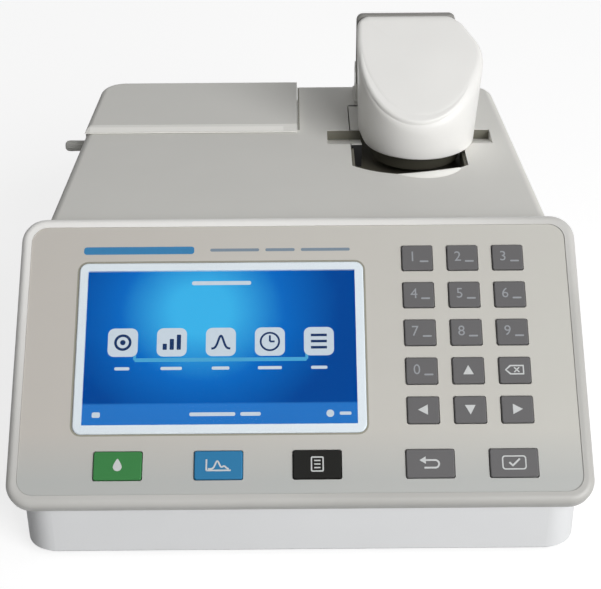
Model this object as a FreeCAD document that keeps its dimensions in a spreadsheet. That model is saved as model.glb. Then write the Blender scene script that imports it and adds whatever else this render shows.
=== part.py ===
import FreeCAD, Part
import math
import os
import re
import Sketcher
from FreeCAD import Placement, Rotation, Vector

# A bench instrument that reads a droplet held between two pedestals.
# Frame: +X to the user's right, +Y towards the back, +Z up, millimetres.
# The origin is under the middle of the whole box, on the surface the feet stand on.
# Every piece is drawn with Y measured from the front panel's sharp lower edge, then moved so
# that the middle of the whole box is at zero. Pieces of the front panel are drawn flat (X across, Y up the
# slope, Z out of the face) and tilted into place.

# Sizes: name, millimetres or degrees, meaning
SIZES = [
    ("overall_depth", 244, "front panel's lower edge to the rear sockets"),
    ("rear_reach", 1.5, "how far the rear sockets stand out of the case"),
    ("seam", 0.2, "gap between shells that butt"),
    ("gap", 0.3, "clearance round a piece that sits in a recess or moves"),
    ("running", 0.05, "radial clearance of a shaft in its bore"),
    ("wall", 2.5, "wall of the case"),
    # Case
    ("case_setback", 4.5, "case front wall behind the panel's lower edge"),
    ("case_front_half", 109, "half width of the case at its front"),
    ("case_back_half", 96.6, "half width of the case at its back"),
    ("case_front_corner", 12, "plan radius of the front corners"),
    ("case_back_corner", 12, "plan radius of the back corners"),
    ("split_height", 30, "parting line of base and housing"),
    ("deck_height", 101.5, "top deck"),
    ("deck_rounding", 4, "rounding of the deck's edge"),
    ("base_bevel", 2, "bevel of the base's lower edge"),
    # Feet and case screws
    ("foot_height", 2.5, "base above the surface"),
    ("foot_radius", 7, "rubber foot"),
    ("foot_sink", 1, "foot let into the base"),
    ("foot_inset", 24, "foot centre from the case's edges"),
    ("boss_half", 5, "half a screw boss's side"),
    ("screw_radius", 1.5, "case screw's shank"),
    ("screw_head_radius", 3, "case screw's head"),
    ("screw_head_height", 2.4, "case screw's head"),
    ("screw_bite", 12, "screw's length in the upper housing"),
    ("front_screw_y", 60, "front pair of case screws"),
    ("back_screw_y", 196, "back pair of case screws"),
    # Front panel
    ("panel_width", 227.2, "front panel"),
    ("panel_length", 121, "front panel, up its slope"),
    ("panel_thick", 6.5, "front panel"),
    ("panel_tilt", 38, "slope from the horizontal"),
    ("panel_edge_height", 30, "panel's lower outer edge above the surface"),
    ("panel_corner", 10, "front panel's corners"),
    ("panel_rounding", 3, "rounding of the panel's rim"),
    ("overlay_inset", 4.5, "rim left round the overlay"),
    ("overlay_thick", 0.6, "overlay sheet"),
    ("overlay_sink", 0.3, "overlay below the rim"),
    ("overlay_corner", 6.5, "overlay's corners"),
    # Display
    ("display_width", 108, "visible screen, 5 inch at 5:3"),
    ("display_length", 64.8, "visible screen"),
    ("display_x", -31.3, "screen centre"),
    ("display_v", 64.5, "screen centre, up the slope"),
    ("ring_width", 3.5, "white ring round the screen"),
    ("ring_corner", 3.5, "ring's outer corners"),
    ("ring_proud", 0.3, "ring above the panel's face"),
    ("glass_lip", 1.7, "glass under the ring"),
    ("glass_thick", 1.2, "screen glass"),
    ("screen_gap", 0.2, "air between the glass and the screen module"),
    ("lcd_thick", 3.4, "screen module"),
    ("lcd_board_thick", 1.6, "screen driver board"),
    # Keys
    ("key_pitch_x", 18.4, "keypad columns"),
    ("key_pitch_v", 16.1, "keypad rows"),
    ("key_first_x", 48.3, "left column"),
    ("key_first_v", 101.7, "top row, up the slope"),
    ("key_width", 12.4, "keypad key"),
    ("key_length", 10.8, "keypad key"),
    ("wide_key_width", 18.6, "function key"),
    ("wide_key_length", 11.2, "function key"),
    ("wide_key_v", 15.9, "function keys' row, up the slope"),
    ("green_key_x", -70.4, "function key"),
    ("blue_key_x", -31.5, "function key"),
    ("black_key_x", 6.6, "function key"),
    ("left_gray_key_x", 50.2, "function key"),
    ("right_gray_key_x", 82.5, "function key"),
    ("key_corner", 0.6, "cut of the keys' corners"),
    ("key_proud", 0.9, "key above the overlay"),
    ("key_bevel", 0.35, "key's top edge"),
    ("key_travel", 0.6, "key's press"),
    ("key_flange", 1, "flange round the key's foot"),
    ("key_flange_thick", 1.2, "key's flange"),
    ("switch_height", 1.6, "switch on the key board"),
    ("switch_side", 6, "switch on the key board"),
    ("board_thick", 1.6, "circuit boards"),
    ("post_half", 1.8, "half the side of the posts that carry the key board"),
    # Stage and its channel
    ("head_x", 54.6, "measuring head's axis"),
    ("head_y", 178, "measuring head's axis"),
    ("channel_x", 50.3, "middle of the channel under the head"),
    ("channel_half", 25.9, "half width of the channel under the head"),
    ("channel_front", 139.4, "front of the channel's curved end"),
    ("channel_front_radius", 40.6, "curve of the channel's front"),
    ("channel_back", 215, "back of the channel"),
    ("channel_depth", 14, "channel walls below the deck"),
    ("channel_wall", 2, "channel walls"),
    ("stage_height", 90.5, "stage plate's top"),
    ("stage_thick", 2.5, "stage plate"),
    ("stage_lip_thick", 1.2, "stage plate's rim at the front"),
    ("stage_lip_drop", 1.2, "stage rim below the deck"),
    ("scoop_x", 51.9, "middle of the finger scoops"),
    ("scoop_reach", 38, "finger scoops' outer ends from their middle"),
    ("scoop_front", 171.5, "front of the finger scoops"),
    ("scoop_back", 187, "back of the finger scoops"),
    ("scoop_depth", 4.7, "deepest part of the finger scoops"),
    ("scoop_lean", 0.6, "lean of the scoops' back wall"),
    # Pedestals
    ("pedestal_radius", 4, "pedestals"),
    ("tip_radius", 1.6, "polished tips that hold the droplet"),
    ("tip_height", 1, "polished tips"),
    ("lower_tip_height", 93.2, "lower tip's face at rest"),
    ("path_rest", 1, "droplet height with the arm closed"),
    ("path_travel", 0.8, "lower pedestal's rise to the short path"),
    ("pedestal_length", 20, "pedestal's shank"),
    # Measuring arm
    ("rim_height", 101.8, "lower rim of the white head"),
    ("rim_radius", 24.1, "head's radius at its rim"),
    ("head_flare", 4, "head's wall from the vertical"),
    ("head_slope", 43, "slope of the head's top"),
    ("head_mid_height", 144.3, "slanted top above the head's axis"),
    ("head_stock", 21, "head's stock above its slanted top"),
    ("head_rounding", 1.8, "head's edges"),
    ("head_hollow", 10.5, "head's hollow"),
    ("head_hollow_depth", 15, "head's hollow"),
    ("block_half", 21, "half width of the block behind the head"),
    ("block_shift", -5.3, "block off the head's axis"),
    ("block_back", 191.5, "back of the block"),
    ("block_corner", 4, "block's back corners"),
    ("neck_half", 16, "half width of the neck"),
    ("neck_height", 134, "neck's top where it leaves the block"),
    ("arm_foot_height", 95, "underside of the arm's foot"),
    ("arm_foot_radius", 20.5, "arm's dark foot"),
    ("hinge_y", 226, "arm hinge"),
    ("hinge_height", 112, "arm hinge"),
    ("knuckle_radius", 8, "arm's knuckle"),
    ("hinge_pin_radius", 3, "arm hinge pin"),
    ("ear_thick", 4.5, "bracket ears"),
    ("bracket_thick", 2, "bracket plate"),
    ("bracket_half", 21.5, "bracket plate"),
    ("bracket_front", 217, "bracket plate"),
    ("bracket_back", 236, "bracket plate"),
    # Printer lid
    ("lid_right", 0, "lid's right edge"),
    ("lid_front", 188, "lid's front wall"),
    ("lid_rise", 2.6, "lid above the deck"),
    ("lid_part_height", 93.5, "lid's lower edge"),
    ("lid_nose", 4, "lid's lip over the deck"),
    ("lid_bevel", 5, "lid's front slope"),
    ("lid_wall", 2.2, "lid's wall"),
    ("lid_rounding", 3.5, "lid's outer edges"),
    ("lid_knuckle_radius", 4, "lid's hinge edge"),
    ("lid_pin_radius", 1.5, "lid hinge pin"),
    ("lid_ear_radius", 2.6, "case's hinge ears"),
    ("lid_ear_width", 5, "case's hinge ears"),
    ("lid_ear_first_x", -82, "left hinge ear"),
    ("lid_ear_spacing", 74, "between the hinge ears"),
    # Printer
    ("printer_x", -46, "middle of the paper"),
    ("paper_width", 57, "paper roll"),
    ("roll_radius", 17.5, "paper roll"),
    ("roll_y", 219, "paper roll's axis"),
    ("roll_height", 73, "paper roll's axis"),
    ("spindle_radius", 5, "paper roll's spindle"),
    ("bucket_wall", 1.6, "paper bucket"),
    ("bucket_flange_height", 93, "paper bucket's flange"),
    ("bay_floor", 62, "walls of the printer bay reach down to here"),
    ("platen_y", 195.6, "platen's axis"),
    ("platen_height", 90.6, "platen's axis"),
    ("platen_radius", 5.5, "rubber platen"),
    ("platen_shaft_radius", 2, "platen's shaft"),
    ("knob_radius", 2.2, "paper feed knob"),
    ("knob_reach", 6, "knob outside the case"),
    ("print_frame_wall", 2, "print unit's side plates"),
    ("print_frame_drop", 22, "print unit below the platen's axis"),
    ("print_frame_sole", 10, "print unit's sole"),
    ("print_frame_crown", 2.7, "print unit above the platen's axis"),
    # Rear panel
    ("socket_height", 17.1, "rear sockets' centre"),
    ("socket_drop", 5.5, "sockets' underside below their centres"),
    ("dc_x", -62, "power inlet"),
    ("dc_radius", 2.8, "power inlet's hole"),
    ("dc_pin_radius", 1.05, "power inlet's pin"),
    ("usb_x", -34, "computer socket"),
    ("host_x", -8, "memory stick socket"),
    ("rocker_x", 58, "power switch"),
    ("rocker_half_width", 5, "rocker"),
    ("rocker_half_height", 8.2, "rocker"),
    ("rocker_tilt", 8, "rocker's lean each way"),
    ("vent_pitch", 5.5, "ventilation slots"),
    ("vent_width", 2.4, "ventilation slots"),
    ("vent_length", 22, "ventilation slots"),
    ("vent_count", 9, "ventilation slots"),
    # Inside
    ("standoff_height", 5, "standoffs on the base's floor"),
    ("standoff_half", 3, "half a standoff's side"),
    ("rear_board_left", -72, "socket board"),
    ("rear_board_right", 4, "socket board"),
    ("rear_board_front", 214, "socket board"),
    ("rear_board_back", 239, "socket board"),
    ("main_board_left", -88, "main board"),
    ("main_board_right", 62, "main board"),
    ("main_board_front", 40, "main board"),
    ("main_board_back", 130, "main board"),
    ("bench_left", 14, "spectrometer"),
    ("bench_right", 84, "spectrometer"),
    ("bench_front", 140, "spectrometer"),
    ("bench_back", 224, "spectrometer"),
    ("bench_height", 30, "spectrometer"),
    ("bench_cover_thick", 2, "spectrometer's cover"),
    ("frame_wall", 2, "stage frame's plates"),
    ("frame_half", 21, "stage frame"),
    ("frame_depth", 36, "stage frame, front to back"),
    ("frame_drop", 46, "stage frame below the stage plate"),
    ("lamp_left", -60, "flash lamp module"),
    ("lamp_right", 4, "flash lamp module"),
    ("lamp_front", 144, "flash lamp module"),
    ("lamp_back", 184, "flash lamp module"),
    ("lamp_height", 26, "flash lamp module"),
]

doc = FreeCAD.newDocument("Spectrophotometer")
sheet = doc.addObject("Spreadsheet::Sheet", "Sizes")
for row, (name, size, meaning) in enumerate(SIZES, start=1):
    sheet.set(f"A{row}", meaning)
    sheet.set(f"B{row}", str(size))
    sheet.setAlias(f"B{row}", name)
doc.recompute()
NAMES = {name for name, size, meaning in SIZES}
PARTS = []


# Expressions and sheet values

def linked(expression):
    """The expression with each size's name pointing at its cell."""
    return re.sub(r"[a-z][a-z_]*", lambda m: "Sizes." + m[0] if m[0] in NAMES else m[0], str(expression))


def number(expression):
    """The expression's value from the sheet as it stands."""
    result = sheet.evalExpression(linked(expression))
    return float(getattr(result, "Value", result))


def bind(thing, **links):
    """Tie properties to the sheet. A double underscore in a key stands for a dot."""
    for key, expression in links.items():
        thing.setExpression(key.replace("__", "."), linked(expression))


def place(thing, x="0", y="0", z="0"):
    bind(thing, Placement__Base__x=x, Placement__Base__y=y, Placement__Base__z=z)


# Places worked out from the sizes

CASE_BACK = "(overall_depth - rear_reach)"
FRONT_EDGE = "(panel_rounding * (cos(panel_tilt) + sin(panel_tilt) - 1))"
CASE_TAPER = f"((case_front_half - case_back_half) / ({CASE_BACK} - case_setback))"
BASE_FLOOR = "(foot_height + wall)"
STANDOFF_TOP = f"({BASE_FLOOR} + standoff_height)"
LID_TOP = "(deck_height + lid_rise)"
LID_HINGE_Y = f"({CASE_BACK} - lid_knuckle_radius)"
LID_HINGE_Z = "(lid_part_height + lid_knuckle_radius)"
OVERLAY_FLOOR = "(-overlay_sink - overlay_thick)"
GLASS_BACK = f"({OVERLAY_FLOOR} - glass_thick)"
MODULE_FRONT = f"({GLASS_BACK} - screen_gap)"
MODULE_BACK = f"({MODULE_FRONT} - lcd_thick)"
KEY_TOP = "(key_proud - overlay_sink)"
FLANGE_FRONT = "(-panel_thick - gap)"
FLANGE_BACK = f"({FLANGE_FRONT} - key_flange_thick)"
SWITCH_TOP = f"({FLANGE_BACK} - key_travel - 0.1)"
KEY_BOARD_FRONT = f"({SWITCH_TOP} - switch_height)"
BLOCK_X = "(head_x + block_shift)"
CHANNEL_CORNER = (
    "(channel_front + channel_front_radius - sqrt(channel_front_radius ^ 2 - channel_half ^ 2))"
)
STAGE_UNDER = "(stage_height - stage_thick)"
FRAME_FLOOR = f"({STAGE_UNDER} - frame_drop)"


def half_at(y):
    """Half width of the case at a distance from the front edge."""
    return f"(case_front_half - {CASE_TAPER} * (({y}) - case_setback))"


def on_panel(v, w):
    """Y and Z of a point v up the panel's slope and w out of its face."""
    return (
        f"(({v}) * cos(panel_tilt) - ({w}) * sin(panel_tilt))",
        f"(panel_edge_height + ({v}) * sin(panel_tilt) + ({w}) * cos(panel_tilt))",
    )


# Sketch helpers

def draw_outline(sketch, corners):
    """A closed outline. A corner is (x, y), or (x, y, radius) where an arc ends there.

    A positive radius turns left on the way to the corner, and a negative one turns right.
    """
    points = [Vector(number(c[0]), number(c[1]), 0) for c in corners]
    first = sketch.GeometryCount
    ends = []
    for index, corner in enumerate(corners):
        start, end = points[index - 1], points[index]
        if len(corner) == 2:
            sketch.addGeometry(Part.LineSegment(start, end), False)
            ends.append((1, 2))
            continue
        radius = number(corner[2])
        half_chord = (end - start) * 0.5
        reach = math.sqrt(max(radius ** 2 - half_chord.Length ** 2, 0.0))
        left = Vector(-half_chord.y, half_chord.x, 0).normalize()
        centre = start + half_chord + left * math.copysign(reach, radius)
        low, high = (start, end) if radius > 0 else (end, start)
        angles = [math.atan2(p.y - centre.y, p.x - centre.x) for p in (low, high)]
        if angles[1] < angles[0]:
            angles[1] += 2 * math.pi
        circle = Part.Circle(centre, Vector(0, 0, 1), abs(radius))
        sketch.addGeometry(Part.ArcOfCircle(circle, angles[0], angles[1]), False)
        ends.append((1, 2) if radius > 0 else (2, 1))
    count = len(corners)
    for index in range(count):
        after = (index + 1) % count
        sketch.addConstraint(Sketcher.Constraint(
            "Coincident", first + index, ends[index][1], first + after, ends[after][0]))
    for index, corner in enumerate(corners):
        line, end = first + index, ends[index][1]
        for kind, value, link in (("DistanceX", points[index].x, corner[0]),
                                  ("DistanceY", points[index].y, corner[1])):
            at = sketch.addConstraint(Sketcher.Constraint(kind, -1, 1, line, end, value))
            sketch.setExpression(f"Constraints[{at}]", linked(link))
        if len(corner) == 3:
            at = sketch.addConstraint(Sketcher.Constraint("Radius", line, abs(number(corner[2]))))
            sketch.setExpression(f"Constraints[{at}]", linked(str(corner[2]).lstrip("-")))


def draw_box(sketch, x_low, x_high, y_low, y_high, corner=None):
    """A rectangle, with rounded corners where a corner radius is given."""
    if corner is None:
        draw_outline(sketch, [(x_low, y_low), (x_high, y_low), (x_high, y_high), (x_low, y_high)])
        return
    draw_outline(sketch, [
        (f"{x_low} + {corner}", y_low, corner), (f"{x_high} - {corner}", y_low),
        (x_high, f"{y_low} + {corner}", corner), (x_high, f"{y_high} - {corner}"),
        (f"{x_high} - {corner}", y_high, corner), (f"{x_low} + {corner}", y_high),
        (x_low, f"{y_high} - {corner}", corner), (x_low, f"{y_low} + {corner}"),
    ])


def draw_cut_box(sketch, x_low, x_high, y_low, y_high, cut):
    """A rectangle with its corners cut off."""
    draw_outline(sketch, [
        (f"{x_low} + {cut}", y_low), (f"{x_high} - {cut}", y_low), (x_high, f"{y_low} + {cut}"),
        (x_high, f"{y_high} - {cut}"), (f"{x_high} - {cut}", y_high), (f"{x_low} + {cut}", y_high),
        (x_low, f"{y_high} - {cut}"), (x_low, f"{y_low} + {cut}")])


def draw_square(sketch, x, y, half):
    draw_box(sketch, f"({x}) - {half}", f"({x}) + {half}", f"({y}) - {half}", f"({y}) + {half}")


def draw_circle(sketch, x, y, radius):
    centre = Vector(number(x), number(y), 0)
    at = sketch.addGeometry(Part.Circle(centre, Vector(0, 0, 1), number(radius)), False)
    for kind, value, link in (("DistanceX", centre.x, x), ("DistanceY", centre.y, y)):
        made = sketch.addConstraint(Sketcher.Constraint(kind, -1, 1, at, 3, value))
        sketch.setExpression(f"Constraints[{made}]", linked(link))
    made = sketch.addConstraint(Sketcher.Constraint("Radius", at, number(radius)))
    sketch.setExpression(f"Constraints[{made}]", linked(radius))


def draw_case_plan(sketch, inset="0"):
    """The case's plan: sides that close in towards the back, and four round corners.

    Four fixed points mark the sharp corners. Each side runs through two of them, and the
    corner arcs are tangent to the sides.
    """
    front, back = f"case_setback + {inset}", f"{CASE_BACK} - {inset}"
    front_half, back_half = f"{half_at(front)} - {inset}", f"{half_at(back)} - {inset}"
    sharp = [(f"-({front_half})", front), (front_half, front), (back_half, back), (f"-({back_half})", back)]
    radii = ["case_front_corner", "case_front_corner", "case_back_corner", "case_back_corner"]
    first = sketch.GeometryCount
    places = [Vector(number(x), number(y), 0) for x, y in sharp]
    for index in range(4):
        start, end = places[index], places[(index + 1) % 4]
        along = (end - start).normalize()
        sketch.addGeometry(Part.LineSegment(start + along * number(radii[index]),
                                            end - along * number(radii[(index + 1) % 4])), False)
    for index in range(4):
        radius = number(f"{radii[index]} - {inset}")
        inward = Vector(math.copysign(radius, -places[index].x), radius if index < 2 else -radius, 0)
        start_angle = (1.0 + 0.5 * index) * math.pi
        circle = Part.Circle(places[index] + inward, Vector(0, 0, 1), radius)
        sketch.addGeometry(Part.ArcOfCircle(circle, start_angle, start_angle + math.pi / 2), False)
    for index in range(4):
        point = sketch.addGeometry(Part.Point(places[index]), True)
        for kind, value, link in (("DistanceX", places[index].x, sharp[index][0]),
                                  ("DistanceY", places[index].y, sharp[index][1])):
            made = sketch.addConstraint(Sketcher.Constraint(kind, -1, 1, point, 1, value))
            sketch.setExpression(f"Constraints[{made}]", linked(link))
        side_before, side_after, arc = first + (index - 1) % 4, first + index, first + 4 + index
        sketch.addConstraint(Sketcher.Constraint("PointOnObject", point, 1, side_before))
        sketch.addConstraint(Sketcher.Constraint("PointOnObject", point, 1, side_after))
        sketch.addConstraint(Sketcher.Constraint("Tangent", side_before, 2, arc, 1))
        sketch.addConstraint(Sketcher.Constraint("Tangent", arc, 2, side_after, 1))
        made = sketch.addConstraint(Sketcher.Constraint("Radius", arc, number(f"{radii[index]} - {inset}")))
        sketch.setExpression(f"Constraints[{made}]", linked(f"{radii[index]} - {inset}"))


# A moulded or machined piece, built as a history of features

class Piece:
    def __init__(self, label, tilted=False):
        self.body = doc.addObject("PartDesign::Body", label)
        register(self.body, label, tilted)

    def sketch(self, name, plane="XY_Plane", out="0", right="0"):
        """A sketch on one of the body's own planes, moved out of it and along it."""
        made = self.body.newObject("Sketcher::SketchObject", name)
        support = [f for f in self.body.Origin.OriginFeatures if f.Role == plane][0]
        made.AttachmentSupport = [(support, "")]
        made.MapMode = "FlatFace"
        bind(made, AttachmentOffset__Base__z=out, AttachmentOffset__Base__x=right)
        return made

    def feature(self, kind, name, sketch, length=None, both=False, reverse=False):
        made = self.body.newObject(kind, name)
        made.Profile = sketch
        made.SideType = "Symmetric" if both else "One side"
        made.Reversed = reverse
        if length is None:
            made.Type = "ThroughAll"
        else:
            bind(made, Length=length)
        sketch.Visibility = False
        doc.recompute()
        return made

    def pad(self, name, sketch, length, both=False, reverse=False):
        return self.feature("PartDesign::Pad", name, sketch, length, both, reverse)

    def pocket(self, name, sketch, length=None, both=False, reverse=False):
        before = self.body.Shape.Volume
        made = self.feature("PartDesign::Pocket", name, sketch, length, both, reverse)
        if made.Shape.Volume > before - 1e-3:
            raise ValueError(f"{self.body.Label}: {name} cuts nothing")
        return made

    def repeat(self, name, feature, axis, spacing, count, axis_two=None, spacing_two=None, count_two="1"):
        """Copies of a feature in a row, or in rows and columns."""
        made = self.body.newObject("PartDesign::LinearPattern", name)
        made.Originals = [feature]
        made.Direction = (feature.Profile[0], [axis])
        made.Mode = "Spacing"
        bind(made, Offset=spacing, Occurrences=count)
        if axis_two:
            made.Direction2 = (feature.Profile[0], [axis_two])
            made.Mode2 = "Spacing"
            bind(made, Offset2=spacing_two, Occurrences2=count_two)
        self.body.Tip = made
        doc.recompute()
        return made

    def dress(self, kind, name, wanted, **links):
        """A fillet or chamfer on the edges that the test picks out."""
        base = self.body.Tip
        names = [f"Edge{i}" for i, edge in enumerate(base.Shape.Edges, start=1) if wanted(edge)]
        if not names:
            raise ValueError(f"{self.body.Label}: {name} finds no edge")
        made = self.body.newObject(kind, name)
        made.Base = (base, names)
        bind(made, **links)
        doc.recompute()
        return made

    def fillet(self, name, radius, wanted):
        return self.dress("PartDesign::Fillet", name, wanted, Radius=radius)

    def chamfer(self, name, size, wanted):
        return self.dress("PartDesign::Chamfer", name, wanted, Size=size)


def middle(edge):
    """The point halfway along an edge."""
    return edge.valueAt((edge.FirstParameter + edge.LastParameter) / 2)


def level(edge, height):
    """True when the edge lies at one height."""
    box = edge.BoundBox
    return abs(box.ZMin - height) < 0.01 and abs(box.ZMax - height) < 0.01


def register(thing, label, tilted=False):
    """Name a finished sub-part and move it from the drawing's frame to the part's frame.

    A plain box or cylinder keeps its own place inside a compound that takes the move.
    """
    if thing.TypeId in ("Part::Box", "Part::Cylinder"):
        thing = grouped(label + "_stock", thing)
    thing.Label = label
    if tilted:
        thing.Placement = Placement(Vector(0, 0, 0), Rotation(Vector(1, 0, 0), number("panel_tilt")))
        bind(thing, Placement__Rotation__Angle="panel_tilt", Placement__Base__z="panel_edge_height")
    bind(thing, Placement__Base__y=f"-(overall_depth + {FRONT_EDGE}) / 2")
    PARTS.append(thing)
    return thing


# Plain solids, for pieces turned or sawn from stock

def block(name, x_low, x_high, y_low, y_high, z_low, z_high):
    made = doc.addObject("Part::Box", name)
    bind(made, Length=f"({x_high}) - ({x_low})", Width=f"({y_high}) - ({y_low})",
         Height=f"({z_high}) - ({z_low})")
    place(made, x_low, y_low, z_low)
    return made


def rod(name, axis, x, y, z, radius, length):
    """A cylinder that starts at a point and runs along +X, +Y or +Z."""
    made = doc.addObject("Part::Cylinder", name)
    turn = {"X": Rotation(Vector(0, 1, 0), 90), "Y": Rotation(Vector(1, 0, 0), -90), "Z": Rotation()}
    made.Placement = Placement(Vector(0, 0, 0), turn[axis])
    bind(made, Radius=radius, Height=length)
    place(made, x, y, z)
    return made


def fused(name, *pieces):
    made = doc.addObject("Part::MultiFuse", name)
    made.Shapes = list(pieces)
    made.Refine = True
    return made


def cut(name, base, *tools):
    made = doc.addObject("Part::Cut", name)
    made.Base = base
    made.Tool = tools[0] if len(tools) == 1 else fused(name + "_tools", *tools)
    return made


def grouped(name, *pieces):
    """Separate solids of one kind that share a node."""
    made = doc.addObject("Part::Compound", name)
    made.Links = list(pieces)
    return made


# Case

SCREW_PLACES = [(side, y) for side in ("-1", "1") for y in ("front_screw_y", "back_screw_y")]
FOOT_PLACES = [(side, y) for side in ("-1", "1")
               for y in ("case_setback + foot_inset", f"{CASE_BACK} - foot_inset")]


def screw_x(side, y):
    return f"{side} * ({half_at(y)} - wall - boss_half + 0.5)"


def foot_x(side, y):
    return f"{side} * ({half_at(y)} - foot_inset)"


def cut_panel_wedge(piece):
    """Cut away everything in front of the panel's back face and under its top end."""
    length, back = "panel_length + seam", "-(panel_thick + seam)"
    below = on_panel("-60", back)
    top = on_panel(length, back)
    end_drop = f"(panel_edge_height + ({length}) * sin(panel_tilt) - deck_height) / cos(panel_tilt)"
    rim = on_panel(length, f"-({end_drop} - 1)")
    sketch = piece.sketch("panel_wedge", "YZ_Plane")
    draw_outline(sketch, [below, top, rim, (rim[0], f"{rim[1]} + 60"), ("-80", f"{rim[1]} + 60"),
                          ("-80", below[1])])
    piece.pocket("panel_wedge_cut", sketch, both=True)


def make_base_tray():
    tray = Piece("base_tray")
    plan = tray.sketch("plan", out="foot_height")
    draw_case_plan(plan)
    tray.pad("block", plan, "split_height - foot_height")
    tray.chamfer("lower_edge", "base_bevel", lambda e: level(e, number("foot_height")))
    inner = tray.sketch("inner_plan", out="split_height")
    draw_case_plan(inner, "wall")
    tray.pocket("hollow", inner, "split_height - foot_height - wall")
    bosses = tray.sketch("bosses", out=BASE_FLOOR)
    for side, y in SCREW_PLACES:
        draw_square(bosses, screw_x(side, y), y, "boss_half")
    tray.pad("boss_pad", bosses, f"split_height - {BASE_FLOOR}")
    standoffs = tray.sketch("standoffs", out=BASE_FLOOR)
    for x, y in STANDOFF_PLACES:
        draw_square(standoffs, x, y, "standoff_half")
    tray.pad("standoff_pad", standoffs, "standoff_height")
    cut_panel_wedge(tray)
    holes = tray.sketch("screw_holes", out="split_height")
    sinks = tray.sketch("screw_sinks", out="foot_height")
    for side, y in SCREW_PLACES:
        draw_circle(holes, screw_x(side, y), y, "screw_radius + gap")
        draw_circle(sinks, screw_x(side, y), y, "screw_head_radius + gap")
    tray.pocket("screw_hole_cut", holes)
    tray.pocket("screw_sink_cut", sinks, "screw_head_height + 1", reverse=True)
    feet = tray.sketch("foot_seats", out="foot_height")
    for side, y in FOOT_PLACES:
        draw_circle(feet, foot_x(side, y), y, "foot_radius + running")
    tray.pocket("foot_seat_cut", feet, "foot_sink", reverse=True)
    sockets = tray.sketch("socket_holes", "XZ_Plane", out=f"-({CASE_BACK})")
    for x, half_width, half_height in SOCKET_HOLES:
        draw_box(sockets, f"{x} - {half_width} - seam", f"{x} + {half_width} + seam",
                 f"socket_height - {half_height} - seam", f"socket_height + {half_height} + seam")
    tray.pocket("socket_hole_cut", sockets, "wall * 2", reverse=True)
    slot = tray.sketch("floor_slot", out="split_height")
    draw_box(slot, "-60", "-60 + vent_length", "70", "70 + vent_width")
    vent = tray.pocket("floor_slot_cut", slot)
    tray.repeat("floor_slots", vent, "V_Axis", "vent_pitch", "vent_count")


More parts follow.
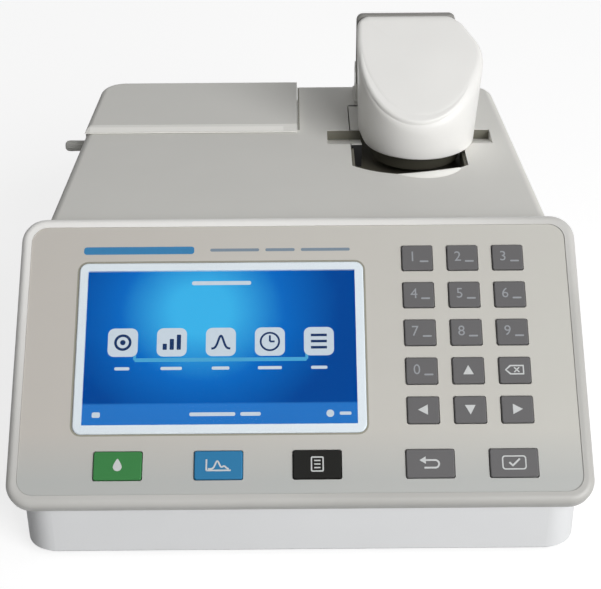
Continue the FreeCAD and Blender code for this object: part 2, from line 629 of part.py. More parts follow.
def make_upper_housing():
    shell = Piece("upper_housing")
    plan = shell.sketch("plan", out="split_height")
    draw_case_plan(plan)
    shell.pad("block", plan, "deck_height - split_height")
    shell.fillet("deck_edge", "deck_rounding", lambda e: level(e, number("deck_height")))
    inner = shell.sketch("inner_plan", out="split_height")
    draw_case_plan(inner, "wall")
    shell.pocket("hollow", inner, "deck_height - wall - split_height", reverse=True)

    well = shell.sketch("channel_walls", out="deck_height - channel_depth")
    edge = "(channel_half + channel_wall)"
    draw_box(well, f"channel_x - {edge}", f"channel_x + {edge}", "channel_front - channel_wall",
             "channel_back + channel_wall")
    shell.pad("channel_block", well, "channel_depth - wall / 2")
    ends = shell.sketch("scoop_walls", out="deck_height - scoop_depth - wall")
    reach = "(scoop_reach + channel_wall)"
    draw_box(ends, f"scoop_x - {reach}", f"scoop_x + {reach}", "scoop_front - channel_wall",
             "scoop_back + channel_wall + scoop_lean")
    shell.pad("scoop_block", ends, "scoop_depth + wall / 2")
    channel = shell.sketch("channel", out="deck_height")
    draw_outline(channel, [
        ("channel_x - channel_half", "channel_back"), ("channel_x - channel_half", CHANNEL_CORNER),
        ("channel_x + channel_half", CHANNEL_CORNER, "channel_front_radius"),
        ("channel_x + channel_half", "channel_back")])
    shell.pocket("channel_cut", channel)
    scoop = shell.sketch("scoop", "YZ_Plane", out="scoop_x")
    draw_outline(scoop, [("scoop_front", "deck_height + 1"), ("scoop_front", "deck_height"),
                         ("scoop_back - scoop_lean", "deck_height - scoop_depth"),
                         ("scoop_back", "deck_height"), ("scoop_back", "deck_height + 1")])
    shell.pocket("scoop_cut", scoop, "scoop_reach * 2", both=True)

    bay = shell.sketch("printer_bay_walls", out="bay_floor")
    right, front = "(lid_right + seam)", "(lid_front - seam)"
    draw_outline(bay, [
        (f"-({half_at('lid_front')} - wall / 2)", f"{front} - wall"), (f"{right} + wall", f"{front} - wall"),
        (f"{right} + wall", f"{CASE_BACK} - wall / 2"), (right, f"{CASE_BACK} - wall / 2"),
        (right, front), (f"-({half_at('lid_front')} - wall / 2)", front)])
    shell.pad("bay_walls", bay, "deck_height - wall / 2 - bay_floor")
    corner = shell.sketch("lid_corner", out="deck_height")
    draw_box(corner, "-case_front_half", right, front, "overall_depth")
    shell.pocket("lid_corner_cut", corner, "deck_height - lid_part_height + seam")
    ear = shell.sketch("lid_ear", "YZ_Plane", out="lid_ear_first_x - lid_ear_width / 2")
    low = "lid_part_height - 10"
    front_y, back_y = f"{LID_HINGE_Y} - lid_ear_radius", f"{LID_HINGE_Y} + lid_ear_radius"
    draw_outline(ear, [(front_y, low), (back_y, low), (back_y, LID_HINGE_Z),
                       (LID_HINGE_Y, f"{LID_HINGE_Z} + lid_ear_radius", "lid_ear_radius"),
                       (front_y, LID_HINGE_Z, "lid_ear_radius")])
    draw_circle(ear, LID_HINGE_Y, LID_HINGE_Z, "lid_pin_radius")
    first_ear = shell.pad("lid_ear_pad", ear, "lid_ear_width")
    shell.repeat("lid_ears", first_ear, "N_Axis", "lid_ear_spacing", "2")

    bosses = shell.sketch("bosses", out="split_height")
    for side, y in SCREW_PLACES:
        draw_square(bosses, screw_x(side, y), y, "boss_half")
    shell.pad("boss_pad", bosses, "screw_bite + 4")
    holes = shell.sketch("pilot_holes", out="split_height")
    for side, y in SCREW_PLACES:
        draw_circle(holes, screw_x(side, y), y, "screw_radius + running")
    shell.pocket("pilot_hole_cut", holes, "screw_bite + 2", reverse=True)
    cut_panel_wedge(shell)

    knob = shell.sketch("knob_hole", "YZ_Plane", out=f"-{half_at('platen_y')} - 5")
    draw_circle(knob, "platen_y", "platen_height", "knob_radius + gap")
    shell.pocket("knob_hole_cut", knob, "20", reverse=True)
    slot = shell.sketch("vent_slot", "XZ_Plane", out=f"-({CASE_BACK})")
    draw_box(slot, "28", "28 + vent_width", "46", "46 + vent_length")
    vent = shell.pocket("vent_slot_cut", slot, "wall * 2", reverse=True)
    shell.repeat("vent_slots", vent, "H_Axis", "vent_pitch", "vent_count")


def make_feet_and_screws():
    feet = [rod(f"foot_{i}", "Z", foot_x(side, y), y, "0", "foot_radius", "foot_height + foot_sink")
            for i, (side, y) in enumerate(FOOT_PLACES)]
    register(grouped("feet", *feet), "rubber_feet")
    screws = []
    for i, (side, y) in enumerate(SCREW_PLACES):
        x = screw_x(side, y)
        head = rod(f"screw_head_{i}", "Z", x, y, "foot_height + 1", "screw_head_radius",
                   "screw_head_height")
        shank = rod(f"screw_shank_{i}", "Z", x, y, "foot_height + 1 + screw_head_height / 2",
                    "screw_radius", "split_height + screw_bite - foot_height - screw_head_height / 2")
        screws.append(fused(f"screw_{i}", head, shank))
    register(grouped("screws", *screws), "case_screws")


# Front panel, drawn flat

SMALL_KEYS = ["key_1", "key_2", "key_3", "key_4", "key_5", "key_6", "key_7", "key_8", "key_9",
              "key_0", "key_up", "key_clear", "key_left", "key_down", "key_right"]
WIDE_KEYS = [("key_green", "green_key_x"), ("key_blue", "blue_key_x"), ("key_black", "black_key_x"),
             ("key_gray_left", "left_gray_key_x"), ("key_gray_right", "right_gray_key_x")]
KEY_PLACES = [(name, f"(key_first_x + {i % 3} * key_pitch_x)", f"(key_first_v - {i // 3} * key_pitch_v)",
               "key_width", "key_length") for i, name in enumerate(SMALL_KEYS)]
KEY_PLACES += [(name, x, "wide_key_v", "wide_key_width", "wide_key_length") for name, x in WIDE_KEYS]
POST_PLACES = [("-51", "wide_key_v"), ("28.4", "wide_key_v"), ("66.4", "wide_key_v"),
               ("key_first_x + key_pitch_x / 2", "key_first_v - key_pitch_v / 2"),
               ("key_first_x + key_pitch_x * 1.5", "key_first_v - key_pitch_v / 2"),
               ("key_first_x + key_pitch_x / 2", "key_first_v - key_pitch_v * 3.5"),
               ("key_first_x + key_pitch_x * 1.5", "key_first_v - key_pitch_v * 3.5")]


def draw_key(sketch, x, v, width, length, margin, corner=None):
    """A key's outline, larger than the key by a margin, with its corners cut where a cut is given."""
    sides = (f"{x} - {width} / 2 - {margin}", f"{x} + {width} / 2 + {margin}",
             f"{v} - {length} / 2 - {margin}", f"{v} + {length} / 2 + {margin}")
    if corner is None:
        draw_box(sketch, *sides)
    else:
        draw_cut_box(sketch, *sides, corner)


def cut_key_windows(piece, corner=None):
    """One row of keypad windows repeated down the slope, and the row of function keys."""
    row = piece.sketch("key_windows")
    for column in range(3):
        draw_key(row, f"(key_first_x + {column} * key_pitch_x)", "key_first_v", "key_width", "key_length",
                 "gap", corner)
    windows = piece.pocket("key_window_cut", row)
    pattern = piece.repeat("key_window_rows", windows, "V_Axis", "key_pitch_v", "5")
    pattern.Reversed = True
    wide = piece.sketch("function_windows")
    for name, x in WIDE_KEYS:
        draw_key(wide, x, "wide_key_v", "wide_key_width", "wide_key_length", "gap", corner)
    piece.pocket("function_window_cut", wide)


def draw_screen(sketch, margin, corner=None):
    """A rectangle round the screen, larger than it by a margin."""
    half_width, half_length = f"(display_width / 2 + {margin})", f"(display_length / 2 + {margin})"
    draw_box(sketch, f"display_x - {half_width}", f"display_x + {half_width}",
             f"display_v - {half_length}", f"display_v + {half_length}", corner)


def make_front_panel():
    panel = Piece("front_panel", tilted=True)
    slab = panel.sketch("slab")
    draw_box(slab, "-panel_width / 2", "panel_width / 2", "0", "panel_length", "panel_corner")
    panel.pad("slab_pad", slab, "panel_thick", reverse=True)
    panel.fillet("rim", "panel_rounding", lambda e: level(e, 0))
    recess = panel.sketch("overlay_recess")
    draw_box(recess, "-panel_width / 2 + overlay_inset", "panel_width / 2 - overlay_inset",
             "overlay_inset", "panel_length - overlay_inset", "overlay_corner")
    panel.pocket("overlay_recess_cut", recess, "overlay_sink + overlay_thick")
    screen = panel.sketch("screen_window")
    draw_screen(screen, "glass_lip + gap")
    panel.pocket("screen_window_cut", screen)
    posts = panel.sketch("posts", out="-panel_thick / 2")
    for x, v in POST_PLACES:
        draw_square(posts, x, v, "post_half")
    panel.pad("post_pad", posts, f"-panel_thick / 2 - {KEY_BOARD_FRONT}", reverse=True)
    cut_key_windows(panel)

    overlay = Piece("panel_overlay", tilted=True)
    sheet_plan = overlay.sketch("sheet", out=OVERLAY_FLOOR)
    inset = "(overlay_inset + seam / 2)"
    draw_box(sheet_plan, f"-panel_width / 2 + {inset}", f"panel_width / 2 - {inset}",
             inset, f"panel_length - {inset}", "overlay_corner")
    overlay.pad("sheet_pad", sheet_plan, "overlay_thick")
    window = overlay.sketch("screen_window", out="0")
    draw_screen(window, "ring_width + seam", "ring_corner")
    overlay.pocket("screen_window_cut", window)
    cut_key_windows(overlay, "key_corner")


def make_display():
    ring = Piece("display_bezel", tilted=True)
    plan = ring.sketch("ring", out=OVERLAY_FLOOR)
    draw_screen(plan, "ring_width", "ring_corner")
    draw_screen(plan, "0")
    ring.pad("ring_pad", plan, f"ring_proud - {OVERLAY_FLOOR}")
    ring.chamfer("ring_edge", "0.4", lambda e: level(e, number("ring_proud"))
                and abs(middle(e).x - number("display_x")) > number("display_width / 2 + 1")
                or level(e, number("ring_proud"))
                and abs(middle(e).y - number("display_v")) > number("display_length / 2 + 1"))
    glass = Piece("display_glass", tilted=True)
    plan = glass.sketch("glass", out=GLASS_BACK)
    draw_screen(plan, "glass_lip")
    glass.pad("glass_pad", plan, "glass_thick")
    half_width, half_length = "(display_width / 2 + glass_lip)", "(display_length / 2 + glass_lip)"
    module = block("lcd", f"display_x - {half_width}", f"display_x + {half_width}",
                   f"display_v - {half_length}", f"display_v + {half_length}",
                   MODULE_BACK, MODULE_FRONT)
    board = block("lcd_board", f"display_x - {half_width} + 4", f"display_x + {half_width} - 4",
                  f"display_v - {half_length} + 2", f"display_v + {half_length} - 2",
                  f"{MODULE_BACK} - lcd_board_thick", MODULE_BACK)
    register(fused("screen_module", module, board), "display_module", tilted=True)


def make_keys():
    for name, x, v, width, length in KEY_PLACES:
        key = Piece(name, tilted=True)
        foot = key.sketch("flange", out=FLANGE_BACK)
        draw_key(foot, x, v, width, length, "key_flange")
        key.pad("flange_pad", foot, "key_flange_thick")
        cap = key.sketch("cap", out=FLANGE_BACK)
        draw_key(cap, x, v, width, length, "0", "key_corner")
        key.pad("cap_pad", cap, f"{KEY_TOP} - {FLANGE_BACK}")
        key.chamfer("cap_edge", "key_bevel", lambda e: level(e, number(KEY_TOP)))


def make_key_board():
    row_end = "(right_gray_key_x + wide_key_width / 2 + 4)"
    shoulder = "(wide_key_v + wide_key_length / 2 + 3)"
    board = Piece("keypad_board", tilted=True)
    plan = board.sketch("board", out=KEY_BOARD_FRONT)
    left = "(green_key_x - wide_key_width / 2 - 3)"
    column_left = "(key_first_x - key_width / 2 - 4)"
    draw_outline(plan, [
        (left, "wide_key_v - wide_key_length / 2 - 2"), (row_end, "wide_key_v - wide_key_length / 2 - 2"),
        (row_end, "key_first_v + key_length / 2 + 3"), (column_left, "key_first_v + key_length / 2 + 3"),
        (column_left, shoulder), (left, shoulder)])
    board.pad("board_pad", plan, "board_thick", reverse=True)
    switches = [block(f"switch_{name}", f"{x} - switch_side / 2", f"{x} + switch_side / 2",
                      f"{v} - switch_side / 2", f"{v} + switch_side / 2", KEY_BOARD_FRONT, SWITCH_TOP)
                for name, x, v, width, length in KEY_PLACES]
    register(grouped("switches", *switches), "key_switches", tilted=True)


# Stage and measuring arm

def make_stage():
    inset = "(channel_half - seam)"
    front = "(channel_front + seam)"
    corner = f"({CHANNEL_CORNER} + seam)"
    stage = Piece("stage_insert")
    plan = stage.sketch("plate", out=STAGE_UNDER)
    draw_outline(plan, [
        (f"channel_x - {inset}", "channel_back - seam"), (f"channel_x - {inset}", corner),
        (f"channel_x + {inset}", corner, "channel_front_radius"),
        (f"channel_x + {inset}", "channel_back - seam")])
    stage.pad("plate_pad", plan, "stage_thick")
    lip = stage.sketch("lip", out=STAGE_UNDER)
    inner = f"({inset} - stage_lip_thick)"
    inner_corner = f"({corner} + stage_lip_thick)"
    lip_back = "(scoop_front - 2)"
    draw_outline(lip, [
        (f"channel_x - {inset}", lip_back), (f"channel_x - {inset}", corner),
        (f"channel_x + {inset}", corner, "channel_front_radius"), (f"channel_x + {inset}", lip_back),
        (f"channel_x + {inner}", lip_back), (f"channel_x + {inner}", inner_corner),
        (f"channel_x - {inner}", inner_corner, "-channel_front_radius"), (f"channel_x - {inner}", lip_back)])
    stage.pad("lip_pad", lip, f"deck_height - stage_lip_drop - {STAGE_UNDER}")
    bore = stage.sketch("pedestal_bore", out="stage_height")
    draw_circle(bore, "head_x", "head_y", "pedestal_radius + running")
    stage.pocket("pedestal_bore_cut", bore)
    rests = stage.sketch("rests", out="stage_height")
    for side in ("-1", "1"):
        draw_circle(rests, f"head_x + {side} * 17", "head_y", "2.5")
    stage.pad("rest_pad", rests, "arm_foot_height - seam - stage_height")

    shank = rod("lower_shank", "Z", "head_x", "head_y", "lower_tip_height - tip_height - pedestal_length",
                "pedestal_radius", "pedestal_length")
    tip = rod("lower_tip", "Z", "head_x", "head_y", "lower_tip_height - tip_height - 1", "tip_radius",
              "tip_height + 1")
    register(fused("lower", shank, tip), "lower_pedestal")

    left, right = "(head_x - frame_half)", "(head_x + frame_half)"
    near, far = "(head_y - frame_depth / 2)", "(head_y + frame_depth / 2)"
    outer = block("frame_outer", left, right, near, far, FRAME_FLOOR, STAGE_UNDER)
    hollow = block("frame_hollow", f"{left} + frame_wall", f"{right} - frame_wall", f"{near} - 1",
                   f"{far} + 1", f"{FRAME_FLOOR} + frame_wall", f"{STAGE_UNDER} - frame_wall")
    hole = rod("frame_hole", "Z", "head_x", "head_y", f"{STAGE_UNDER} - frame_wall - 1",
               "pedestal_radius + gap", "frame_wall + 2")
    register(cut("frame", outer, hollow, hole), "stage_frame")
    foot = "(lower_tip_height - tip_height - pedestal_length)"
    case = rod("actuator_case", "Z", "head_x", "head_y", f"{FRAME_FLOOR} + frame_wall", "10",
               f"{foot} - 4 - {FRAME_FLOOR} - frame_wall")
    plunger = rod("actuator_plunger", "Z", "head_x", "head_y", f"{foot} - 6", "3", "6 - gap")
    register(fused("actuator", case, plunger), "path_actuator")


def make_arm():
    top_height = "(head_mid_height + head_stock)"
    flare = f"(rim_radius + ({top_height} - rim_height) * tan(head_flare))"
    shell = Piece("arm_shell")
    profile = shell.sketch("head_profile", "YZ_Plane", out="head_x", right="head_y")
    draw_outline(profile, [("0", "rim_height"), ("rim_radius", "rim_height"), (flare, top_height),
                           ("0", top_height)])
    head = shell.body.newObject("PartDesign::Revolution", "head")
    head.Profile = profile
    head.ReferenceAxis = (profile, ["V_Axis"])
    head.Angle = 360
    doc.recompute()
    rear = shell.sketch("rear_half", out=top_height)
    draw_box(rear, "head_x - 50", "head_x + 50", "head_y", "head_y + 50")
    shell.pocket("rear_half_cut", rear)
    ends = []
    for name, height, radius in (("low", "rim_height", "rim_radius"), ("high", top_height, flare)):
        plan = shell.sketch(f"block_{name}", out=height)
        draw_outline(plan, [(f"head_x - {radius}", "head_y"), (f"head_x + {radius}", "head_y"),
                            (f"{BLOCK_X} + block_half", "block_back"), (f"{BLOCK_X} - block_half", "block_back")])
        ends.append(plan)
    rear_block = shell.body.newObject("PartDesign::AdditiveLoft", "rear_block")
    rear_block.Profile = ends[0]
    rear_block.Sections = [ends[1]]
    rear_block.Ruled = True
    doc.recompute()
    shell.fillet("back_corners", "block_corner", lambda e: e.BoundBox.ZLength > 20
                 and middle(e).y > number("block_back - 1"))
    slant = shell.sketch("slant", "YZ_Plane", out="head_x")
    drop = "tan(head_slope)"
    draw_outline(slant, [("head_y - 40", f"head_mid_height - 40 * {drop}"),
                         ("head_y + 40", f"head_mid_height + 40 * {drop}"),
                         ("head_y + 40", f"head_mid_height + 80 * {drop}"),
                         ("head_y - 40", f"head_mid_height + 80 * {drop}")])
    shell.pocket("slant_cut", slant, both=True)
    slope = number("head_slope")

    def top_edge(edge):
        """Edges of the slanted face."""
        ends = [edge.valueAt(p) for p in (edge.FirstParameter, edge.LastParameter)] + [middle(edge)]
        return all(abs(p.z - number("head_mid_height")
                       - (p.y - number("head_y")) * math.tan(math.radians(slope))) < 0.01 for p in ends)

    shell.fillet("top_rounding", "head_rounding", top_edge)
    hollow = shell.sketch("hollow", out="rim_height")
    draw_circle(hollow, "head_x", "head_y", "head_hollow")
    shell.pocket("hollow_cut", hollow, "head_hollow_depth", reverse=True)
    neck = shell.sketch("neck", "YZ_Plane", out=BLOCK_X)
    under = "hinge_height - knuckle_radius"
    draw_outline(neck, [("block_back - 2", under), ("hinge_y", under),
                        ("hinge_y + knuckle_radius", "hinge_height", "knuckle_radius"),
                        ("hinge_y", "hinge_height + knuckle_radius", "knuckle_radius"),
                        ("block_back - 2", "neck_height")])
    shell.pad("neck_pad", neck, "neck_half * 2", both=True)
    bore = shell.sketch("hinge_bore", "YZ_Plane", out=BLOCK_X)
    draw_circle(bore, "hinge_y", "hinge_height", "hinge_pin_radius + running")
    shell.pocket("hinge_bore_cut", bore, both=True)

    flange = rod("foot_flange", "Z", "head_x", "head_y", "arm_foot_height", "arm_foot_radius",
                 "rim_height - arm_foot_height")
    spigot = rod("foot_spigot", "Z", "head_x", "head_y", "rim_height - 1", "head_hollow - gap",
                 "6")
    bore = rod("foot_bore", "Z", "head_x", "head_y", "arm_foot_height - 1", "pedestal_radius", "20")
    register(cut("foot", fused("foot_body", flange, spigot), bore), "arm_base")
    face = "(lower_tip_height + path_rest)"
    tip = rod("upper_tip", "Z", "head_x", "head_y", face, "tip_radius", "tip_height + 1")
    shank = rod("upper_shank", "Z", "head_x", "head_y", f"{face} + tip_height", "pedestal_radius",
                f"rim_height + 4 - {face}")
    register(fused("upper", tip, shank), "upper_pedestal")


def make_arm_hinge():
    inner = "(neck_half + gap)"
    plate = block("bracket_plate", f"{BLOCK_X} - bracket_half", f"{BLOCK_X} + bracket_half",
                  "bracket_front", "bracket_back", "deck_height", "deck_height + bracket_thick")
    ears = []
    for name, low in (("left", f"{BLOCK_X} - {inner} - ear_thick"), ("right", f"{BLOCK_X} + {inner}")):
        stem = block(f"{name}_ear_stem", low, f"{low} + ear_thick", "hinge_y - knuckle_radius",
                     "hinge_y + knuckle_radius", "deck_height", "hinge_height")
        crown = rod(f"{name}_ear_crown", "X", low, "hinge_y", "hinge_height", "knuckle_radius", "ear_thick")
        ears += [stem, crown]
    reach = f"({inner} + ear_thick)"
    bore = rod("bracket_bore", "X", f"{BLOCK_X} - {reach} - 1", "hinge_y", "hinge_height",
               "hinge_pin_radius", f"({reach} + 1) * 2")
    register(cut("bracket", fused("bracket_body", plate, *ears), bore), "arm_bracket")
    register(rod("arm_pin", "X", f"{BLOCK_X} - {reach}", "hinge_y", "hinge_height", "hinge_pin_radius",
                 f"{reach} * 2"), "arm_hinge_pin")


# Printer

def make_printer_lid():
    lid = Piece("printer_lid")
    side = lid.sketch("side", "YZ_Plane", out="lid_right")
    lip_under = "(deck_height + 0.5)"
    draw_outline(side, [
        ("lid_front", "lid_part_height"), (LID_HINGE_Y, "lid_part_height"),
        (CASE_BACK, LID_HINGE_Z, "lid_knuckle_radius"), (CASE_BACK, LID_TOP),
        ("lid_front - lid_nose + lid_bevel", LID_TOP), ("lid_front - lid_nose", f"{lip_under} + 0.4"),
        ("lid_front - lid_nose", lip_under), ("lid_front", lip_under)])
    lid.pad("cap", side, "case_front_half", reverse=True)
    trim = lid.sketch("trim", out=LID_TOP)
    draw_box(trim, "-case_front_half - 20", "case_front_half + 20", "-20", "overall_depth + 20")
    draw_case_plan(trim)
    lid.pocket("trim_cut", trim, both=True)

    def outer_edge(edge):
        """The lid's top edge on the case's left side, back corner and back."""
        spot = middle(edge)
        if not level(edge, number(LID_TOP)) or spot.y < number("lid_front + 6"):
            return False
        return spot.x < number("lid_right - 1") and not (
            abs(spot.y - number("lid_front - lid_nose + lid_bevel")) < 0.1)

    lid.fillet("outer_rounding", "lid_rounding", outer_edge)
    hollow = lid.sketch("hollow", out="lid_part_height")
    near, far = "(lid_front + lid_wall)", f"({LID_HINGE_Y} - lid_knuckle_radius - 0.5)"
    bend_y = f"{CASE_BACK} - case_back_corner - 1"
    left_near = f"-({half_at(near)} - lid_wall)"
    left_bend = f"-({half_at(bend_y)} - lid_wall)"
    draw_outline(hollow, [
        (left_near, near), ("lid_right - lid_wall", near), ("lid_right - lid_wall", far),
        (f"-({half_at(far)} - case_back_corner * 0.65)", far), (left_bend, bend_y)])
    lid.pocket("hollow_cut", hollow, f"{LID_TOP} - lid_wall - lid_part_height", reverse=True)
    notch = lid.sketch("hinge_notch", "YZ_Plane", out="lid_ear_first_x - lid_ear_width / 2 - gap")
    room = "(lid_ear_radius + gap * 2)"
    draw_box(notch, f"{LID_HINGE_Y} - lid_knuckle_radius - 1", f"{CASE_BACK} + 1", "lid_part_height - 1",
             f"{LID_HINGE_Z} + {room}")
    first = lid.pocket("hinge_notch_cut", notch, "lid_ear_width + gap * 2", reverse=True)
    lid.repeat("hinge_notches", first, "N_Axis", "lid_ear_spacing", "2")
    bore = lid.sketch("hinge_bore", "YZ_Plane", out="lid_right")
    draw_circle(bore, LID_HINGE_Y, LID_HINGE_Z, "lid_pin_radius + running")
    lid.pocket("hinge_bore_cut", bore, "-(lid_ear_first_x) + lid_ear_width")
    pin_left = "(lid_ear_first_x - lid_ear_width + 1)"
    register(rod("lid_pin", "X", pin_left, LID_HINGE_Y, LID_HINGE_Z, "lid_pin_radius",
                 f"lid_right - 1 - {pin_left}"), "lid_hinge_pin")


def make_printer():
    half = "(paper_width / 2 + 1.5)"
    left, right = f"(printer_x - {half} - bucket_wall)", f"(printer_x + {half} + bucket_wall)"
    near, far = "(roll_y - roll_radius - 1.2 - bucket_wall)", "(roll_y + roll_radius + 1.2 + bucket_wall)"
    deep = "(roll_height - roll_radius - 1.2 - bucket_wall)"
    outer = block("bucket_outer", left, right, near, far, deep, "bucket_flange_height")
    flange = block("bucket_flange", f"-({half_at(CASE_BACK)} - wall - case_back_corner / 3)",
                   "lid_right + seam", near, f"{LID_HINGE_Y} - lid_ear_radius - gap * 2",
                   "bucket_flange_height - bucket_wall", "bucket_flange_height")
    curve = rod("bucket_curve", "X", f"printer_x - {half}", "roll_y", "roll_height", "roll_radius + 1.2",
                f"{half} * 2")
    mouth = block("bucket_mouth", f"printer_x - {half}", f"printer_x + {half}", f"{near} - 1",
                  f"{LID_HINGE_Y} - lid_ear_radius - gap * 2 - 2", "roll_height + roll_radius / 2",
                  "bucket_flange_height + 1")
    cradle = rod("bucket_cradle", "X", f"{left} - 1", "roll_y", "roll_height", "spindle_radius - 2 + running",
                 f"{right} - {left} + 2")
    body = fused("bucket_body", outer, flange)
    register(cut("bucket", body, curve, mouth, cradle), "paper_bucket")

    roll = rod("roll", "X", "printer_x - paper_width / 2", "roll_y", "roll_height", "roll_radius", "paper_width")
    core = rod("roll_core", "X", "printer_x - paper_width / 2 - 1", "roll_y", "roll_height",
               "spindle_radius", "paper_width + 2")
    register(cut("roll_cut", roll, core), "paper_roll")
    bar = rod("spindle_bar", "X", "printer_x - paper_width / 2", "roll_y", "roll_height", "spindle_radius",
              "paper_width")
    stub = rod("spindle_stub", "X", left, "roll_y", "roll_height", "spindle_radius - 2", f"{right} - {left}")
    register(fused("spindle", bar, stub), "paper_spindle")

    plate = "print_frame_wall"
    reach = f"({half} + gap)"
    low, high = "(platen_height - print_frame_drop)", "(platen_height + print_frame_crown)"
    front_y, back_y = "(lid_front - seam)", near
    sole = block("unit_sole", f"printer_x - {reach} - {plate}", f"printer_x + {reach} + {plate}",
                 front_y, back_y, low, f"{low} + print_frame_sole")
    sides = [block(f"unit_{name}", x, f"{x} + {plate}", front_y, back_y, low, high)
             for name, x in (("left", f"printer_x - {reach} - {plate}"), ("right", f"printer_x + {reach}"))]
    head = block("unit_head", f"printer_x - {half} + 2", f"printer_x + {half} - 2", "platen_y - 3",
                 f"{back_y} - 0.5", f"{low} + print_frame_sole / 2", "platen_height - platen_radius - gap")
    bore = rod("unit_bore", "X", f"printer_x - {reach} - 5", "platen_y", "platen_height",
               "platen_shaft_radius + running", f"{reach} * 2 + 10")
    register(cut("unit", fused("unit_body", sole, head, *sides), bore), "printer_mechanism")

    roller = rod("platen_rubber", "X", "printer_x - paper_width / 2", "platen_y", "platen_height",
                 "platen_radius", "paper_width")
    knob_tip = f"({half_at('platen_y')} + knob_reach)"
    knob_root = f"({half_at('platen_y')} - wall - 4)"
    shaft_left = f"(-{knob_root})"
    shaft_right = f"(printer_x + {reach} + {plate} + 3)"
    shaft = rod("platen_shaft_bar", "X", shaft_left, "platen_y", "platen_height", "platen_shaft_radius",
                f"{shaft_right} - {shaft_left}")
    inner = rod("platen_core", "X", "printer_x - paper_width", "platen_y", "platen_height",
                "platen_shaft_radius", "paper_width * 2")
    register(cut("rubber", roller, inner), "platen_roller")
    register(shaft, "platen_shaft")
    grip = rod("knob_grip", "X", f"-{knob_tip}", "platen_y", "platen_height", "knob_radius",
               f"{knob_tip} - {knob_root}")
    register(grip, "feed_knob")


# Rear sockets

SOCKET_HOLES = [("dc_x", "4.5", "5.5"), ("usb_x", "6", "5.5"), ("host_x", "6.6", "3.4"),
                ("rocker_x", "(rocker_half_width + 1.5)", "(rocker_half_height + 1.5)")]


def make_sockets():
    face = f"({CASE_BACK} + 0.5)"
    under = "(socket_height - socket_drop)"
    shell = block("dc_body", "dc_x - 4.5", "dc_x + 4.5", f"{face} - 14", face, under, "socket_height + 5.5")
    hole = rod("dc_hole", "Y", "dc_x", f"{face} - 10", "socket_height", "dc_radius", "11")
    pin = rod("dc_pin", "Y", "dc_x", f"{face} - 11", "socket_height", "dc_pin_radius", "9.5")
    register(fused("dc", cut("dc_shell", shell, hole), pin), "dc_inlet")
    shell = block("usb_body", "usb_x - 6", "usb_x + 6", f"{face} - 15", face, under, "socket_height + 5.5")
    hole = block("usb_hole", "usb_x - 4.25", "usb_x + 4.25", f"{face} - 10", f"{face} + 1",
                 "socket_height - 3.9", "socket_height + 3.9")
    tongue = block("usb_tongue", "usb_x - 2.8", "usb_x + 2.8", f"{face} - 11", f"{face} - 1",
                   "socket_height - 1.6", "socket_height + 1.6")
    register(fused("usb", cut("usb_shell", shell, hole), tongue), "usb_socket")
    shell = block("host_body", "host_x - 6.6", "host_x + 6.6", f"{face} - 13", face, "socket_height - 3.4",
                  "socket_height + 3.4")
    hole = block("host_hole", "host_x - 6.2", "host_x + 6.2", f"{face} - 10", f"{face} + 1",
                 "socket_height - 2.6", "socket_height + 2.6")
    tongue = block("host_tongue", "host_x - 5.6", "host_x + 5.6", f"{face} - 11", f"{face} - 1",
                   "socket_height", "socket_height + 1.8")
    riser = block("host_riser", "host_x - 6.6", "host_x + 6.6", f"{face} - 13", f"{CASE_BACK} - wall - gap",
                  under, "socket_height - 3.4")
    register(fused("host", cut("host_shell", shell, hole), tongue, riser), "memory_socket")

    lip = "overall_depth"
    half_x, half_z = "(rocker_half_width + 0.3)", "(rocker_half_height + 0.5)"
    barrel = block("rocker_barrel", f"rocker_x - {half_x} - 1.2", f"rocker_x + {half_x} + 1.2",
                   f"{CASE_BACK} - 16", lip, f"socket_height - {half_z} - 1", f"socket_height + {half_z} + 1")
    bezel = block("rocker_bezel", f"rocker_x - {half_x} - 2.6", f"rocker_x + {half_x} + 2.6",
                  CASE_BACK, lip, f"socket_height - {half_z} - 2.2", f"socket_height + {half_z} + 2.2")
    room = block("rocker_room", f"rocker_x - {half_x}", f"rocker_x + {half_x}", f"{CASE_BACK} - 12",
                 f"{lip} + 1", f"socket_height - {half_z}", f"socket_height + {half_z}")
    bore = rod("rocker_bore", "X", f"rocker_x - {half_x} - 0.8", f"{CASE_BACK} - 2", "socket_height",
               "1 + running", f"({half_x} + 0.8) * 2")
    register(cut("rocker_case", fused("rocker_shell", barrel, bezel), room, bore), "power_switch")

    rocker = Piece("power_rocker")
    side = rocker.sketch("rocker_side", "YZ_Plane", out="rocker_x")
    axis_y = f"({CASE_BACK} - 2)"

    def leaned(y, z):
        """A corner of the rocker, leaned to its off position about its pivot."""
        return (f"{axis_y} + ({y}) * cos(rocker_tilt) - ({z}) * sin(rocker_tilt)",
                f"socket_height + ({y}) * sin(rocker_tilt) + ({z}) * cos(rocker_tilt)")

    draw_outline(side, [leaned("2", "-rocker_half_height"), leaned("1.3", "0"),
                        leaned("2", "rocker_half_height"), leaned("-1", "rocker_half_height"),
                        leaned("-5", "4"), leaned("-5", "-4"), leaned("-1", "-rocker_half_height")])
    rocker.pad("rocker_pad", side, "rocker_half_width * 2", both=True)
    pivot = rocker.sketch("pivot", "YZ_Plane", out="rocker_x")
    draw_circle(pivot, axis_y, "socket_height", "1")
    rocker.pad("pivot_pad", pivot, "(rocker_half_width + 0.8) * 2", both=True)


# Inside

STANDOFF_PLACES = [(x, y) for x in ("main_board_left + 5", "main_board_right - 5")
                   for y in ("main_board_front + 5", "main_board_back - 5")]
STANDOFF_PLACES += [(x, y) for x in ("bench_left + 6", "bench_right - 6")
                    for y in ("bench_front + 6", "bench_back - 6")]
STANDOFF_PLACES += [(x, y) for x in ("rear_board_left + 5", "rear_board_right - 5")
                    for y in ("rear_board_front + 5", "rear_board_back - 5")]
STANDOFF_PLACES += [(x, y) for x in ("lamp_left + 6", "lamp_right - 6")
                    for y in ("lamp_front + 6", "lamp_back - 6")]


